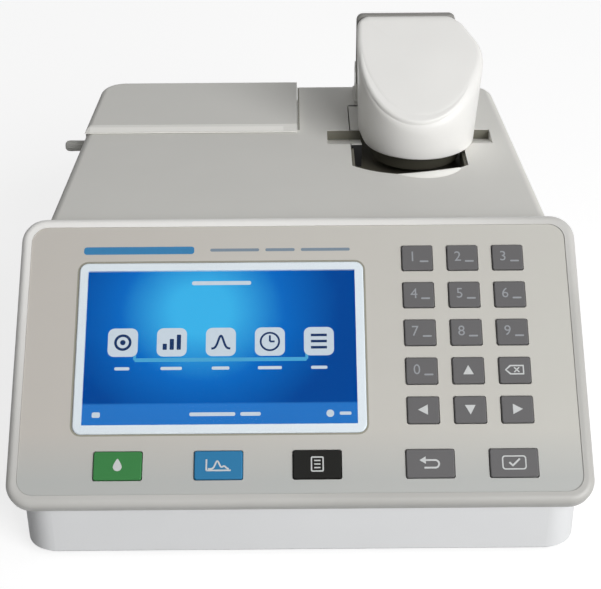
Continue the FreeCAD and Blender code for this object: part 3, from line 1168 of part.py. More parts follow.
def make_inside():
    board_top = f"({STANDOFF_TOP} + board_thick)"
    main = block("main_plate", "main_board_left", "main_board_right", "main_board_front",
                 "main_board_back", STANDOFF_TOP, board_top)
    rear = block("rear_plate", "rear_board_left", "rear_board_right", "rear_board_front",
                 "rear_board_back", STANDOFF_TOP, board_top)
    register(grouped("plates", main, rear), "main_board")
    chips = [("processor", "-30", "80", "18", "18", "1.6"), ("memory", "-4", "84", "12", "8", "1.2"),
             ("display_header", "-60", "104", "26", "6", "5"), ("key_header", "34", "60", "20", "6", "5"),
             ("power_choke", "-64", "66", "12", "12", "7"), ("reservoir_header", "30", "108", "16", "6", "5")]
    parts = [block(name, f"{x} - {width} / 2", f"{x} + {width} / 2", f"{y} - {depth} / 2",
                   f"{y} + {depth} / 2", board_top, f"{board_top} + {height}")
             for name, x, y, width, depth, height in chips]
    register(grouped("board_chips", *parts), "board_components")

    outer = block("bench_outer", "bench_left", "bench_right", "bench_front", "bench_back", STANDOFF_TOP,
                  f"{STANDOFF_TOP} + bench_height")
    inner = block("bench_inner", "bench_left + 3", "bench_right - 3", "bench_front + 3", "bench_back - 3",
                  f"{STANDOFF_TOP} + 3", f"{STANDOFF_TOP} + bench_height + 1")
    entrance = rod("bench_entrance", "Y", "bench_left + 18", "bench_front - 1", f"{STANDOFF_TOP} + 15",
                   "1.6", "5")
    register(cut("bench", outer, inner, entrance), "spectrometer_bench")
    register(block("bench_lid", "bench_left", "bench_right", "bench_front", "bench_back",
                   f"{STANDOFF_TOP} + bench_height", f"{STANDOFF_TOP} + bench_height + bench_cover_thick"),
             "spectrometer_cover")
    floor = f"({STANDOFF_TOP} + 3)"
    grating = block("grating_block", "bench_right - 24", "bench_right - 10", "bench_back - 26",
                    "bench_back - 14", floor, f"{floor} + 20")
    sensor = block("sensor_block", "bench_left + 30", "bench_left + 60", "bench_front + 6",
                   "bench_front + 11", floor, f"{floor} + 18")
    register(grouped("optics", grating, sensor), "bench_optics")
    shell = block("lamp_box", "lamp_left", "lamp_right", "lamp_front", "lamp_back", STANDOFF_TOP,
                  f"{STANDOFF_TOP} + lamp_height")
    snout = rod("lamp_snout", "X", "lamp_right - 1", "(lamp_front + lamp_back) / 2",
                f"{STANDOFF_TOP} + lamp_height / 2", "5", "8")
    register(fused("lamp", shell, snout), "flash_lamp")


make_base_tray()
make_upper_housing()
make_feet_and_screws()
make_front_panel()
make_display()
make_keys()
make_key_board()
make_stage()
make_arm()
make_arm_hinge()
make_printer_lid()
make_printer()
make_sockets()
make_inside()
doc.recompute()

# Check and write

faults = [f"{o.Label}: {o.State}" for o in doc.Objects if "Invalid" in o.State or "Error" in o.State]
for part in PARTS:
    if part.Shape.isNull() or not part.Shape.isValid() or not part.Shape.Solids:
        faults.append(f"{part.Label}: bad shape")
if faults:
    raise SystemExit("\n".join(faults))
os.makedirs("parts", exist_ok=True)
for part in PARTS:
    part.Shape.exportStep(f"parts/{part.Label}.step")
whole = Part.makeCompound([part.Shape for part in PARTS]).BoundBox
print(f"{len(PARTS)} parts, X {whole.XMin:.2f} {whole.XMax:.2f}, Y {whole.YMin:.2f} {whole.YMax:.2f}, "
      f"Z {whole.ZMin:.2f} {whole.ZMax:.2f}")
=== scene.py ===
"""The looks of a bench spectrophotometer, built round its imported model.

Lengths inside the classes are millimetres. The front panel's pieces are laid out flat, with u across
the panel and v up its slope, and PanelPlane puts them into the frame. The other pieces use the
drawing's Y, which starts at the case's front edge, SETBACK before the middle of the frame.
"""

import logging
import math
from collections.abc import Callable
from dataclasses import dataclass
from enum import Enum

import bpy
import numpy as np
from mathutils import Matrix


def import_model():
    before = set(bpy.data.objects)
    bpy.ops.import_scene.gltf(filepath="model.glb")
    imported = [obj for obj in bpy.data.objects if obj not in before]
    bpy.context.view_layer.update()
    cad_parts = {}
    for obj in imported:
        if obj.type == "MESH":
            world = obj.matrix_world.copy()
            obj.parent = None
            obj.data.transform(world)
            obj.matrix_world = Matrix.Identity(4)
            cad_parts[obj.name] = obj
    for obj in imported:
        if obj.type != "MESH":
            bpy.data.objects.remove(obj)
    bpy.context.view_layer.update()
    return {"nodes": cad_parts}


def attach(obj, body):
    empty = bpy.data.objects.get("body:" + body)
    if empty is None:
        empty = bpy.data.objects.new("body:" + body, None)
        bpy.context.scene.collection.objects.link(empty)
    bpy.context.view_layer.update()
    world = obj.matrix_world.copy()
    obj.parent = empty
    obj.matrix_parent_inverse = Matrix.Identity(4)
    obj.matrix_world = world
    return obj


log = logging.getLogger("spectrophotometer")

MM = 0.001
SETBACK = 122.6055

Spot = tuple[float, float]
Spots = tuple[Spot, ...]
Triple = tuple[float, float, float]
Colour = Triple
Surface = tuple[np.ndarray, np.ndarray | list]
Socket = bpy.types.NodeSocket
Material = bpy.types.Material
Node = bpy.types.Node

WHITE: Colour = (1.0, 1.0, 1.0)
MIDDLE: Spot = (0.0, 0.0)


def srgb(red: int, green: int, blue: int) -> Colour:
    """A colour as the screen shows it, 0 to 255, turned into the linear values that shaders take."""
    parts = np.array([red, green, blue]) / 255.0
    linear = np.where(parts <= 0.04045, parts / 12.92, ((parts + 0.055) / 1.055) ** 2.4)
    return tuple(float(part) for part in linear)


def scaled(colour: Colour, factor: float, lift: float = 0.0) -> Colour:
    """A colour's parts times a factor, plus a lift, and 1 at most."""
    return tuple(min(part * factor + lift, 1.0) for part in colour)


# Shader maths


def maths(operation: str, swapped: bool = False) -> Callable[["Value", "Value | float"], "Value"]:
    """A method that joins its Value and another number by a Math node.

    Args:
        operation: The node's operation.
        swapped: True where the other number comes first.

    Returns:
        The method.
    """

    def join(self: "Value", other: "Value | float") -> "Value":
        """The node's result."""
        inputs = {0: other, 1: self} if swapped else {0: self, 1: other}
        return Value(self.shader, self.shader.node("Math", inputs, {"operation": operation}).outputs[0])

    return join


class Value:
    """A socket that carries a number, with arithmetic that adds Math nodes. above gives 1 or 0."""

    def __init__(self, shader: "Shader", socket: Socket) -> None:
        """Keep the socket and the shader that it belongs to."""
        self.shader, self.socket = shader, socket

    __add__, __sub__, __rsub__ = maths("ADD"), maths("SUBTRACT"), maths("SUBTRACT", swapped=True)
    __mul__, __truediv__, __pow__ = maths("MULTIPLY"), maths("DIVIDE"), maths("POWER")
    above, least, most = maths("GREATER_THAN"), maths("MINIMUM"), maths("MAXIMUM")

    def clamp(self) -> "Value":
        """The number held between 0 and 1."""
        return self.most(0.0).least(1.0)


class Shader:
    """The nodes of one material, or of the world."""

    def __init__(self, name: str, is_world: bool = False) -> None:
        """Start a new material or world of that name, with no nodes."""
        self.owner = (bpy.data.worlds if is_world else bpy.data.materials).new(name)
        self.owner.use_nodes = True
        self.tree = self.owner.node_tree
        self.tree.nodes.clear()

    def node(self, kind: str, inputs: dict | None = None, settings: dict | None = None) -> Node:
        """Add a node, set it up and fill its sockets.

        Args:
            kind: The node's type, without the word ShaderNode.
            inputs: Numbers, colours, sockets or Value objects, by the socket's name or number.
            settings: The node's own settings, and a ramp's stops as (position, colour) pairs.

        Returns:
            The node.
        """
        made = self.tree.nodes.new(f"ShaderNode{kind}")
        for key, setting in (settings or {}).items():
            if key == "stops":
                ramp = made.color_ramp
                for index, (position, colour) in enumerate(setting):
                    stop = ramp.elements[index] if index < 2 else ramp.elements.new(position)
                    stop.position, stop.color = position, (*colour, 1.0)
            else:
                setattr(made, key, setting)
        for key, given in (inputs or {}).items():
            socket = made.inputs[key]
            if isinstance(given, Value):
                given = given.socket
            if isinstance(given, Socket):
                self.tree.links.new(given, socket)
            elif isinstance(given, tuple) and socket.type == "RGBA":
                socket.default_value = (*given, 1.0)
            else:
                socket.default_value = given
        return made

    def place(self) -> Socket:
        """The point on the piece, in metres."""
        return self.node("TexCoord").outputs["Object"]

    def axes(self) -> tuple[Value, Value, Value]:
        """The point's X, Y and Z as numbers, in metres."""
        split = self.node("SeparateXYZ", {0: self.place()})
        x, y, z = (Value(self, socket) for socket in split.outputs)
        return x, y, z

    def noise(self, size: float, detail: float = 2.0, stretch: Triple = (1.0, 1.0, 1.0)) -> Value:
        """Soft noise from 0 to 1.

        Args:
            size: The size of its blotches in millimetres.
            detail: The number of finer layers.
            stretch: How much finer it is along X, Y and Z.

        Returns:
            The noise.
        """
        spread = self.node("Mapping", {"Vector": self.place(), "Scale": stretch})
        inputs = {"Vector": spread.outputs[0], "Scale": 1.0 / (size * MM), "Detail": detail}
        return Value(self, self.node("TexNoise", inputs).outputs["Fac"])

    def mix(self, share: Value, low: Colour | Socket, high: Colour | Socket) -> Socket:
        """A colour between two, by a share from 0 to 1."""
        return self.node("Mix", {0: share, 6: low, 7: high}, {"data_type": "RGBA"}).outputs[2]

    def bump(self, height: Value, depth: float, strength: float) -> Socket:
        """Relief from a height of 0 to 1, with its depth in millimetres and how much of it shows."""
        return self.node("Bump", {"Height": height, "Distance": depth * MM, "Strength": strength}).outputs[0]

    def finish(self, **inputs: object) -> Material:
        """Close the material with a Principled surface.

        Args:
            inputs: The surface's sockets, with underscores for spaces.

        Returns:
            The material.
        """
        named = {key.replace("_", " "): given for key, given in inputs.items()}
        surface = self.node("BsdfPrincipled", named)
        self.node("OutputMaterial", {"Surface": surface.outputs[0]})
        return self.owner

    def split_view(self, unseen: Node, seen: Node, output: str) -> None:
        """Light the object with one surface, and show another to the camera, in mirrors and through glass.

        Args:
            unseen: The surface that lights the object.
            seen: The surface that is looked at.
            output: The type of the output node, without the word ShaderNode.
        """
        path = self.node("LightPath")
        camera, glossy, through = (Value(self, path.outputs[f"Is {kind} Ray"])
                                   for kind in ("Camera", "Glossy", "Transmission"))
        looked_at = camera.most(glossy).most(through)
        both = self.node("MixShader", {0: looked_at, 1: unseen.outputs[0], 2: seen.outputs[0]})
        self.node(output, {"Surface": both.outputs[0]})


# Finishes


@dataclass(frozen=True)
class MouldedPlastic:
    """Injection-moulded plastic with a fine spark-eroded grain."""

    name: str
    colour: Colour
    roughness: float
    gloss: float = 0.5
    grain: float = 0.35
    relief: float = 0.012
    mottle: float = 0.05

    def build(self) -> Material:
        """The material: colour that drifts a little over the piece, and a grain that catches light."""
        shader = Shader(self.name)
        drift, cells = shader.noise(38.0, 3.0), shader.noise(self.grain)
        low, high = scaled(self.colour, 1.0 - self.mottle), scaled(self.colour, 1.0 + self.mottle * 0.6)
        return shader.finish(
            Base_Color=shader.mix((drift * 0.75 + cells * 0.25).clamp(), low, high),
            Roughness=(drift - 0.5) * 0.08 + (cells - 0.5) * 0.1 + self.roughness,
            Specular_IOR_Level=self.gloss, Normal=shader.bump(cells, self.relief, 0.6))


@dataclass(frozen=True)
class RimPlastic:
    """White plastic of the front panel, with painted shade along its lower and right sides."""

    name: str
    lit_tone: Colour
    shaded_tone: Colour
    plane: "PanelPlane"
    half_width: float = 113.6
    length: float = 121.0
    roughness: float = 0.4

    def build(self) -> Material:
        """The material: the share of painted shade grows down the slope and towards the right."""
        shader = Shader(self.name)
        x, _, z = shader.axes()
        rise = self.length * math.sin(math.radians(self.plane.tilt)) * MM
        low = 1.0 - (z - self.plane.edge * MM) / rise
        right = x / (2.0 * self.half_width * MM) + 0.5
        cells, cloud = shader.noise(0.35), shader.noise(30.0, 3.0)
        # painted shade: darker down the slope and towards the right
        share = (low * 0.85 + right ** 3.0 * 0.7 + (cloud - 0.5) * 0.15).clamp()
        return shader.finish(
            Base_Color=shader.mix(share, self.lit_tone, self.shaded_tone),
            Roughness=(cloud - 0.5) * 0.1 + self.roughness,
            Normal=shader.bump(cells, 0.01, 0.6))


@dataclass(frozen=True)
class PrintedFilm:
    """A printed polyester overlay with a fine velvet texture and a hard coat."""

    name: str
    left: Colour
    right: Colour
    foot: Colour
    half_width: float = 108.0
    foot_height: Spot = (36.0, 48.0)
    roughness: float = 0.42

    def build(self) -> Material:
        """The material: a tint that is warmer and darker at the left and lighter at the right, the lighter
        right being painted light, cooler along the foot, and a very fine tooth.
        """
        shader = Shader(self.name)
        x, _, z = shader.axes()
        side = (x / (2.0 * self.half_width * MM) + 0.5).clamp()
        low, high = self.foot_height
        below = ((z - low * MM) / ((high - low) * MM) * -1.0 + 1.0).clamp()
        tooth, cloud = shader.noise(0.22, 1.0), shader.noise(22.0, 3.0)
        # lighter towards the right: painted light falling from the right
        tint = shader.mix(below, shader.mix(side, self.left, self.right), self.foot)
        return shader.finish(
            Base_Color=shader.mix((cloud * 0.35).clamp(), tint, scaled(self.left, 0.94)),
            Roughness=(cloud - 0.5) * 0.1 + self.roughness,
            Normal=shader.bump(tooth, 0.006, 0.5))


@dataclass(frozen=True)
class SoftRubber:
    """Black rubber with a dull, slightly dusty skin."""

    name: str
    colour: Colour
    roughness: float = 0.78

    def build(self) -> Material:
        """The material: dust in blotches over a matt black skin."""
        shader = Shader(self.name)
        dust, pores = shader.noise(6.0, 4.0), shader.noise(0.5)
        return shader.finish(
            Base_Color=shader.mix((dust * 0.6).clamp(), self.colour, scaled(self.colour, 1.7, 0.01)),
            Roughness=(dust - 0.5) * 0.12 + self.roughness,
            Normal=shader.bump(pores, 0.03, 0.5))


@dataclass(frozen=True)
class WorkedMetal:
    """Turned, ground or plated metal with fine marks along one direction."""

    name: str
    colour: Colour
    roughness: float
    marks: Triple = (1.0, 1.0, 1.0)
    relief: float = 0.004

    def build(self) -> Material:
        """The material: tool marks drawn out along the piece, which vary its gloss."""
        shader = Shader(self.name)
        lines, cloud = shader.noise(1.2, 3.0, self.marks), shader.noise(9.0)
        return shader.finish(
            Base_Color=shader.mix(cloud, self.colour, scaled(self.colour, 0.86)),
            Metallic=1.0,
            Roughness=(lines - 0.5) * 0.22 + (cloud - 0.5) * 0.08 + self.roughness,
            Normal=shader.bump(lines, self.relief, 0.5))


@dataclass(frozen=True)
class BoardMask:
    """A circuit board: solder mask with copper tracks showing through as relief."""

    name: str
    colour: Colour

    def build(self) -> Material:
        """The material: stripes along one direction, broken up by noise, stand for the tracks."""
        shader = Shader(self.name)
        rows = shader.node("TexWave", {"Vector": shader.place(), "Scale": 90.0, "Distortion": 3.0},
                           {"bands_direction": "X"})
        tracks = (Value(shader, rows.outputs["Fac"]) - 0.62).clamp() * 4.0
        broken = tracks.clamp() * shader.noise(9.0).above(0.5)
        return shader.finish(
            Base_Color=shader.mix(broken, self.colour, scaled(self.colour, 1.9, 0.01)),
            Roughness=shader.noise(14.0) * 0.2 + 0.25,
            Normal=shader.bump(broken, 0.03, 0.7))


@dataclass(frozen=True)
class Ink:
    """A flat printed mark."""

    name: str
    colour: Colour
    roughness: float = 0.5

    def build(self) -> Material:
        """The material: ink that is a little thinner in places."""
        shader = Shader(self.name)
        cover = shader.noise(1.6, 3.0)
        return shader.finish(Base_Color=shader.mix(cover, self.colour, scaled(self.colour, 0.88)),
                             Roughness=(cover - 0.5) * 0.1 + self.roughness)


@dataclass(frozen=True)
class LitInk:
    """A mark that the screen lights."""

    name: str
    colour: Colour
    strength: float = 0.8

    def build(self) -> Material:
        """The material: light of one colour over a dark surface."""
        shader = Shader(self.name)
        tone = shader.mix(shader.noise(2.5), self.colour, scaled(self.colour, 0.9))
        return shader.finish(Base_Color=(0.01, 0.01, 0.01), Roughness=0.4, Specular_IOR_Level=0.0,
                             Emission_Color=tone, Emission_Strength=self.strength)


@dataclass(frozen=True)
class ScreenGlow:
    """The lit picture of the screen: blue, brightest above the middle, with a paler strip below."""

    name: str
    plane: "PanelPlane"
    centre: Spot = (-31.3, 64.5)
    half_size: Spot = (54.0, 32.4)
    bright: Colour = srgb(64, 186, 243)
    middle: Colour = srgb(12, 108, 200)
    deep: Colour = srgb(4, 72, 156)
    strip: Colour = srgb(50, 132, 216)
    strip_top: float = -0.71

    def build(self) -> Material:
        """The material: the distance from a point above the middle picks the blue."""
        shader = Shader(self.name)
        x, y, z = shader.axes()
        tilt = math.radians(self.plane.tilt)
        up = (y + SETBACK * MM) * math.cos(tilt) + (z - self.plane.edge * MM) * math.sin(tilt)
        across = (x - self.centre[0] * MM) / (self.half_size[0] * MM)
        along = (up - self.centre[1] * MM) / (self.half_size[1] * MM)
        off_u, off_v = (across + 0.14) * 0.95, (along - 0.5) * 0.62
        distance = (off_u * off_u + off_v * off_v) ** 0.5 + (shader.noise(16.0) - 0.5) * 0.06
        stops = [(0.0, self.bright), (0.98, self.deep), (0.20, self.bright), (0.58, self.middle)]
        blue = shader.node("ValToRGB", {0: distance}, {"stops": stops})
        inside = (self.strip_top - along) * 40.0 + 0.5
        tone = shader.mix(inside.clamp() * 0.75, blue.outputs[0], self.strip)
        return shader.finish(Base_Color=(0.0, 0.0, 0.0), Roughness=0.35, Specular_IOR_Level=0.0,
                             Emission_Color=tone, Emission_Strength=1.0)


@dataclass(frozen=True)
class ClearGlass:
    """Flat display glass with clean reflections."""

    name: str

    def build(self) -> Material:
        """The material: nearly clear, with faint smears in its gloss."""
        shader = Shader(self.name)
        smear = shader.noise(24.0, 3.0)
        return shader.finish(Base_Color=(0.01, 0.03, 0.06), Roughness=smear * 0.06 + 0.03,
                             Alpha=smear * 0.03 + 0.04, IOR=1.45, Specular_IOR_Level=0.25)


class Slot(Enum):
    """The record's material slot names. The new pieces here take their finishes directly, not from these."""

    CASE = "case_plastic"
    OVERLAY = "overlay_film"
    MODULE = "screen_module"
    KEY = "key_gray"
    PAPER = "paper"
    METAL = "polished_steel"
    BLACK = "black_plastic"


# Surfaces


def grid_faces(rows: int, columns: int, closed: bool = False) -> np.ndarray:
    """Quads between neighbouring points of a grid that is stored row by row.

    Args:
        rows: Points along the first parameter.
        columns: Points along the second parameter.
        closed: True where the last column joins the first.

    Returns:
        One row of four vertex numbers for each quad.
    """
    steps = columns if closed else columns - 1
    row, column = np.meshgrid(np.arange(rows - 1), np.arange(steps), indexing="ij")
    after = (column + 1) % columns
    corners = [row * columns + column, row * columns + after,
               (row + 1) * columns + after, (row + 1) * columns + column]
    return np.stack([corner.ravel() for corner in corners], axis=1)


def band(inner: np.ndarray, outer: np.ndarray) -> Surface:
    """A flat ring between two closed outlines of equal counts, both counter-clockwise."""
    return np.concatenate([outer, inner]), grid_faces(2, len(inner), closed=True)


def filled(outline: np.ndarray) -> Surface:
    """A flat shape filled towards the middle of its outline: the outline shrunk to a small core.

    Args:
        outline: Points (u, v), counter-clockwise, all in view of the shape's middle.

    Returns:
        Points and quads, the core closed by one row of quads that meet in pairs.
    """
    core = outline.mean(axis=0)
    points, faces = band(core + (outline - core) * 0.02, outline)
    count = len(outline)
    step = np.arange(count // 2 - 1)
    lid = np.stack([step, step + 1, count - 2 - step, count - 1 - step], axis=1) + count
    return points, np.concatenate([faces, lid])


def stroke(path: np.ndarray, width: float) -> Surface:
    """A flat line of constant width: the path moved half a width to each side along its normal."""
    along = np.gradient(path, axis=0)
    along /= np.linalg.norm(along, axis=1, keepdims=True)
    normal = np.stack([-along[:, 1], along[:, 0]], axis=1) * width / 2.0
    return np.concatenate([path - normal, path + normal]), grid_faces(2, len(path))


def line(*corners: Spot, steps: int = 1) -> np.ndarray:
    """Points along straight runs between corners, the same number on each run."""
    share = np.linspace(0.0, 1.0, steps, endpoint=False)[:, None]
    spots = np.array(corners, float)
    runs = spots[:-1, None, :] * (1.0 - share) + spots[1:, None, :] * share
    return np.concatenate([runs.reshape(-1, 2), spots[-1:]])


def bar(start: Spot, end: Spot, width: float) -> Surface:
    """A straight line of constant width."""
    return stroke(line(start, end), width)


def arc(centre: Spot, radius: float, start: float = 0.0, end: float = 345.0, count: int = 24) -> np.ndarray:
    """Points on an arc between two angles in degrees. Without them, a circle's points for a closed outline."""
    angle = np.radians(np.linspace(start, end, count))
    return np.array(centre) + radius * np.stack([np.cos(angle), np.sin(angle)], axis=1)


def round_box(centre: Spot, width: float, height: float, corner: float, count: int = 6) -> np.ndarray:
    """A rectangle with round corners, counter-clockwise: a quarter arc at each corner."""
    half = np.array([width / 2.0 - corner, height / 2.0 - corner])
    signs = np.array([[1, 1], [-1, 1], [-1, -1], [1, -1]])
    angle = np.radians(np.linspace(0.0, 90.0, count)[None, :] + np.arange(4)[:, None] * 90.0)
    turns = np.stack([np.cos(angle), np.sin(angle)], axis=2) * corner
    return np.array(centre) + ((signs * half)[:, None, :] + turns).reshape(-1, 2)


def bordered_box(width: float, height: float, corner: float, inner_corner: float, border: float) -> Surface:
    """The border of a round box about zero, where the opening has a corner radius of its own."""
    inner = round_box(MIDDLE, width - 2.0 * border, height - 2.0 * border, inner_corner)
    return band(inner, round_box(MIDDLE, width, height, corner))


def raised(plan: np.ndarray, height: float | np.ndarray) -> np.ndarray:
    """Flat points with a height added, the same for all or one for each."""
    return np.column_stack([plan, np.broadcast_to(height, len(plan))])


def moved(surface: Surface, spot: Spot) -> Surface:
    """A flat surface moved to a spot."""
    return surface[0] + np.array(spot), surface[1]


def joined(*surfaces: Surface) -> Surface:
    """Several surfaces as one: their points stacked, and their faces renumbered to match."""
    starts = np.cumsum([0] + [len(points) for points, _ in surfaces[:-1]])
    faces = [quads + start for (_, quads), start in zip(surfaces, starts)]
    return np.concatenate([points for points, _ in surfaces]), np.concatenate(faces)


def add_object(name: str, data: bpy.types.ID) -> bpy.types.Object:
    """Link an object that shows a mesh, a lamp or a camera."""
    holder = bpy.data.objects.new(name, data)
    bpy.context.scene.collection.objects.link(holder)
    return holder


def turned(axes: list[np.ndarray], place: np.ndarray) -> Matrix:
    """An object's matrix from its own X, Y and Z directions and its place in metres."""
    turn = np.identity(4)
    turn[:3, :3], turn[:3, 3] = np.column_stack(axes), place
    return Matrix(turn.tolist())


def make_piece(name: str, surface: Surface, material: Material, body: str = "case",
               thick: float = 0.0, smooth: bool = False) -> None:
    """Put a surface into the scene as one piece of the object.

    Args:
        name: The piece's name.
        surface: Its vertices in millimetres, in the frame's axes, and its faces as rows of vertex numbers.
        material: Its finish.
        body: The body it rides on.
        thick: Thickness in millimetres that is added on its outer side.
        smooth: True for smooth shading.
    """
    points, faces = surface
    mesh = bpy.data.meshes.new(name)
    rows = faces.tolist() if isinstance(faces, np.ndarray) else faces
    mesh.from_pydata((points * MM).tolist(), [], rows)
    mesh.update()
    mesh.polygons.foreach_set("use_smooth", np.full(len(mesh.polygons), smooth))
    mesh.materials.append(material)
    piece = add_object(name, mesh)
    if thick:
        wall = piece.modifiers.new("thickness", "SOLIDIFY")
        wall.thickness, wall.offset = thick * MM, 1.0
    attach(piece, body)
    log.info("%s: %d faces on %s", name, len(rows), body)


def lettering(text: str, height: float) -> Surface:
    """Plain figures as a flat mesh of a height in millimetres, centred on zero."""
    curve = bpy.data.curves.new("figures", "FONT")
    curve.body, curve.resolution_u = text, 3
    holder = bpy.data.objects.new("figures", curve)
    mesh = bpy.data.meshes.new_from_object(holder)
    points = np.zeros(len(mesh.vertices) * 3)
    mesh.vertices.foreach_get("co", points)
    points = points.reshape(-1, 3)[:, :2]
    faces = [list(polygon.vertices) for polygon in mesh.polygons]
    low, high = points.min(axis=0), points.max(axis=0)
    points = (points - (low + high) / 2.0) * height / (high[1] - low[1])
    bpy.data.objects.remove(holder)
    bpy.data.curves.remove(curve)
    bpy.data.meshes.remove(mesh)
    return points, faces


@dataclass(frozen=True)
class PanelPlane:
    """The sloped front panel's own axes."""

    tilt: float = 38.0
    edge: float = 30.0

    def lay(self, surface: Surface, out: float) -> Surface:
        """A flat surface in (u, v), put a distance out of the panel's face, in the frame's axes."""
        tilt = math.radians(self.tilt)
        u, v = surface[0][:, 0], surface[0][:, 1]
        back = v * math.cos(tilt) - out * math.sin(tilt) - SETBACK
        return np.stack([u, back, self.edge + v * math.sin(tilt) + out * math.cos(tilt)], axis=1), surface[1]


# Sub-assemblies


@dataclass
class KeyMarks:
    """White marks on the keys: plain figures, arrows and simple signs."""

    plane: PanelPlane
    first: Spot = (48.3, 101.7)
    pitch: Spot = (18.4, 16.1)
    function_keys: tuple[str, ...] = ("key_green", "key_blue", "key_black", "key_gray_left", "key_gray_right")
    function_u: tuple[float, ...] = (-70.4, -31.5, 6.6, 50.2, 82.5)
    function_v: float = 15.9
    key_top: float = 0.6
    print_thick: float = 0.05
    figure_height: float = 4.2
    figure_shift: Spot = (-1.9, 0.5)
    dash_place: Spot = (2.76, -1.7)
    dash: Spot = (3.6, 0.7)
    arrow: float = 4.2
    curve_width: float = 0.62
    line_width: float = 0.7
    thin_width: float = 0.5

    def figure(self, text: str) -> Surface:
        """One figure with a short dash at its lower right."""
        points, faces = lettering(text, self.figure_height)
        dash_points, dash_faces = filled(round_box(self.dash_place, *self.dash, 0.3))
        shifted = points + np.array(self.figure_shift)
        return np.concatenate([shifted, dash_points]), faces + (dash_faces + len(points)).tolist()

    def pointer(self, turn: float) -> Surface:
        """A triangle that points up, turned by an angle in degrees."""
        corners = line((-0.5, -0.42), (0.5, -0.42), (0.0, 0.5), (-0.5, -0.42), steps=4)[:-1] * self.arrow
        angle = math.radians(turn)
        spin = np.array([[math.cos(angle), math.sin(angle)], [-math.sin(angle), math.cos(angle)]])
        return filled(corners @ spin)

    def droplet(self) -> Surface:
        """A drop: a circle whose upper part is drawn out to a tip."""
        angle = np.radians(np.linspace(0.0, 360.0, 32, endpoint=False))
        pull = np.clip(np.sin(angle), 0.0, 1.0) ** 3
        u = 1.7 * np.cos(angle) * (1.0 - 0.35 * pull)
        v = 1.7 * np.sin(angle) + 1.5 * pull - 0.5
        return filled(np.stack([u, v], axis=1))

    def peak(self) -> Surface:
        """An absorbance curve over its two axes: a bell with a shoulder."""
        u = np.linspace(-4.0, 4.0, 40)
        v = 3.1 * np.exp(-((u + 0.4) / 1.1) ** 2) + 1.1 * np.exp(-((u - 2.2) / 0.9) ** 2) - 1.6
        top, corner, end = (-4.6, 2.2), (-4.6, -2.2), (4.8, -2.2)
        return joined(stroke(np.stack([u, v], axis=1), self.curve_width),
                      bar(top, corner, self.curve_width), bar(corner, end, self.curve_width))

    def page(self) -> Surface:
        """A sheet with three lines on it."""
        rows = [bar((-1.2, v), (1.2, v), self.thin_width) for v in (1.4, 0.0, -1.4)]
        return joined(bordered_box(5.0, 6.0, 0.6, 0.2, 0.5), *rows)

    def go_back(self) -> Surface:
        """An arrow that bends back to the left."""
        bend = np.concatenate([line((-2.0, 1.2), (1.8, 1.2), steps=4), arc((1.8, -0.3), 1.5, 84.0, -90.0, 16),
                               line((1.2, -1.8), (-2.4, -1.8), steps=3)])
        head = line((-4.2, 1.2), (-1.8, -0.3), (-1.8, 2.7), (-4.2, 1.2), steps=4)[:-1]
        return joined(stroke(bend, self.line_width), filled(head))

    def tick(self) -> Surface:
        """A tick in a frame."""
        return joined(bordered_box(9.4, 5.6, 1.2, 0.8, 0.5), bar((-1.9, 0.1), (-0.5, -1.3), self.line_width),
                      bar((-0.7, -1.3), (2.2, 1.5), self.line_width))

    def cross(self) -> Surface:
        """A small cross in a tag that points left."""
        tag = line((-4.0, 0.0), (-2.0, -2.0), (3.6, -2.0), (3.6, 2.0), (-2.0, 2.0), (-4.0, 0.0), steps=3)[:-1]
        centre = np.array([0.4, 0.0])
        inner = centre + (tag - centre) * np.array([0.84, 0.72])
        arms = [bar((-0.3, -side), (1.7, side), self.thin_width) for side in (1.0, -1.0)]
        return joined(band(inner, tag), *arms)

    def build(self, bright: Material, faint: Material) -> None:
        """Lay each mark on its key, riding with the key.

        Args:
            bright: The ink of the arrows and signs.
            faint: The ink of the figures.
        """
        figures = "1234567890"
        names = [f"key_{figure}" for figure in figures]
        names += ["key_up", "key_clear", "key_left", "key_down", "key_right", *self.function_keys]
        marks = [self.figure(figure) for figure in figures]
        marks += [self.pointer(0.0), self.cross(), *[self.pointer(turn) for turn in (90.0, 180.0, -90.0)]]
        marks += [self.droplet(), self.peak(), self.page(), self.go_back(), self.tick()]
        spots = [(self.first[0] + index % 3 * self.pitch[0], self.first[1] - index // 3 * self.pitch[1])
                 for index in range(len(names) - len(self.function_u))]
        spots += [(u, self.function_v) for u in self.function_u]
        for name, mark, spot in zip(names, marks, spots):
            laid = self.plane.lay(moved(mark, spot), self.key_top)
            ink = faint if name[-1].isdigit() else bright
            make_piece(f"mark_{name}", laid, ink, f"{name}_body", self.print_thick)


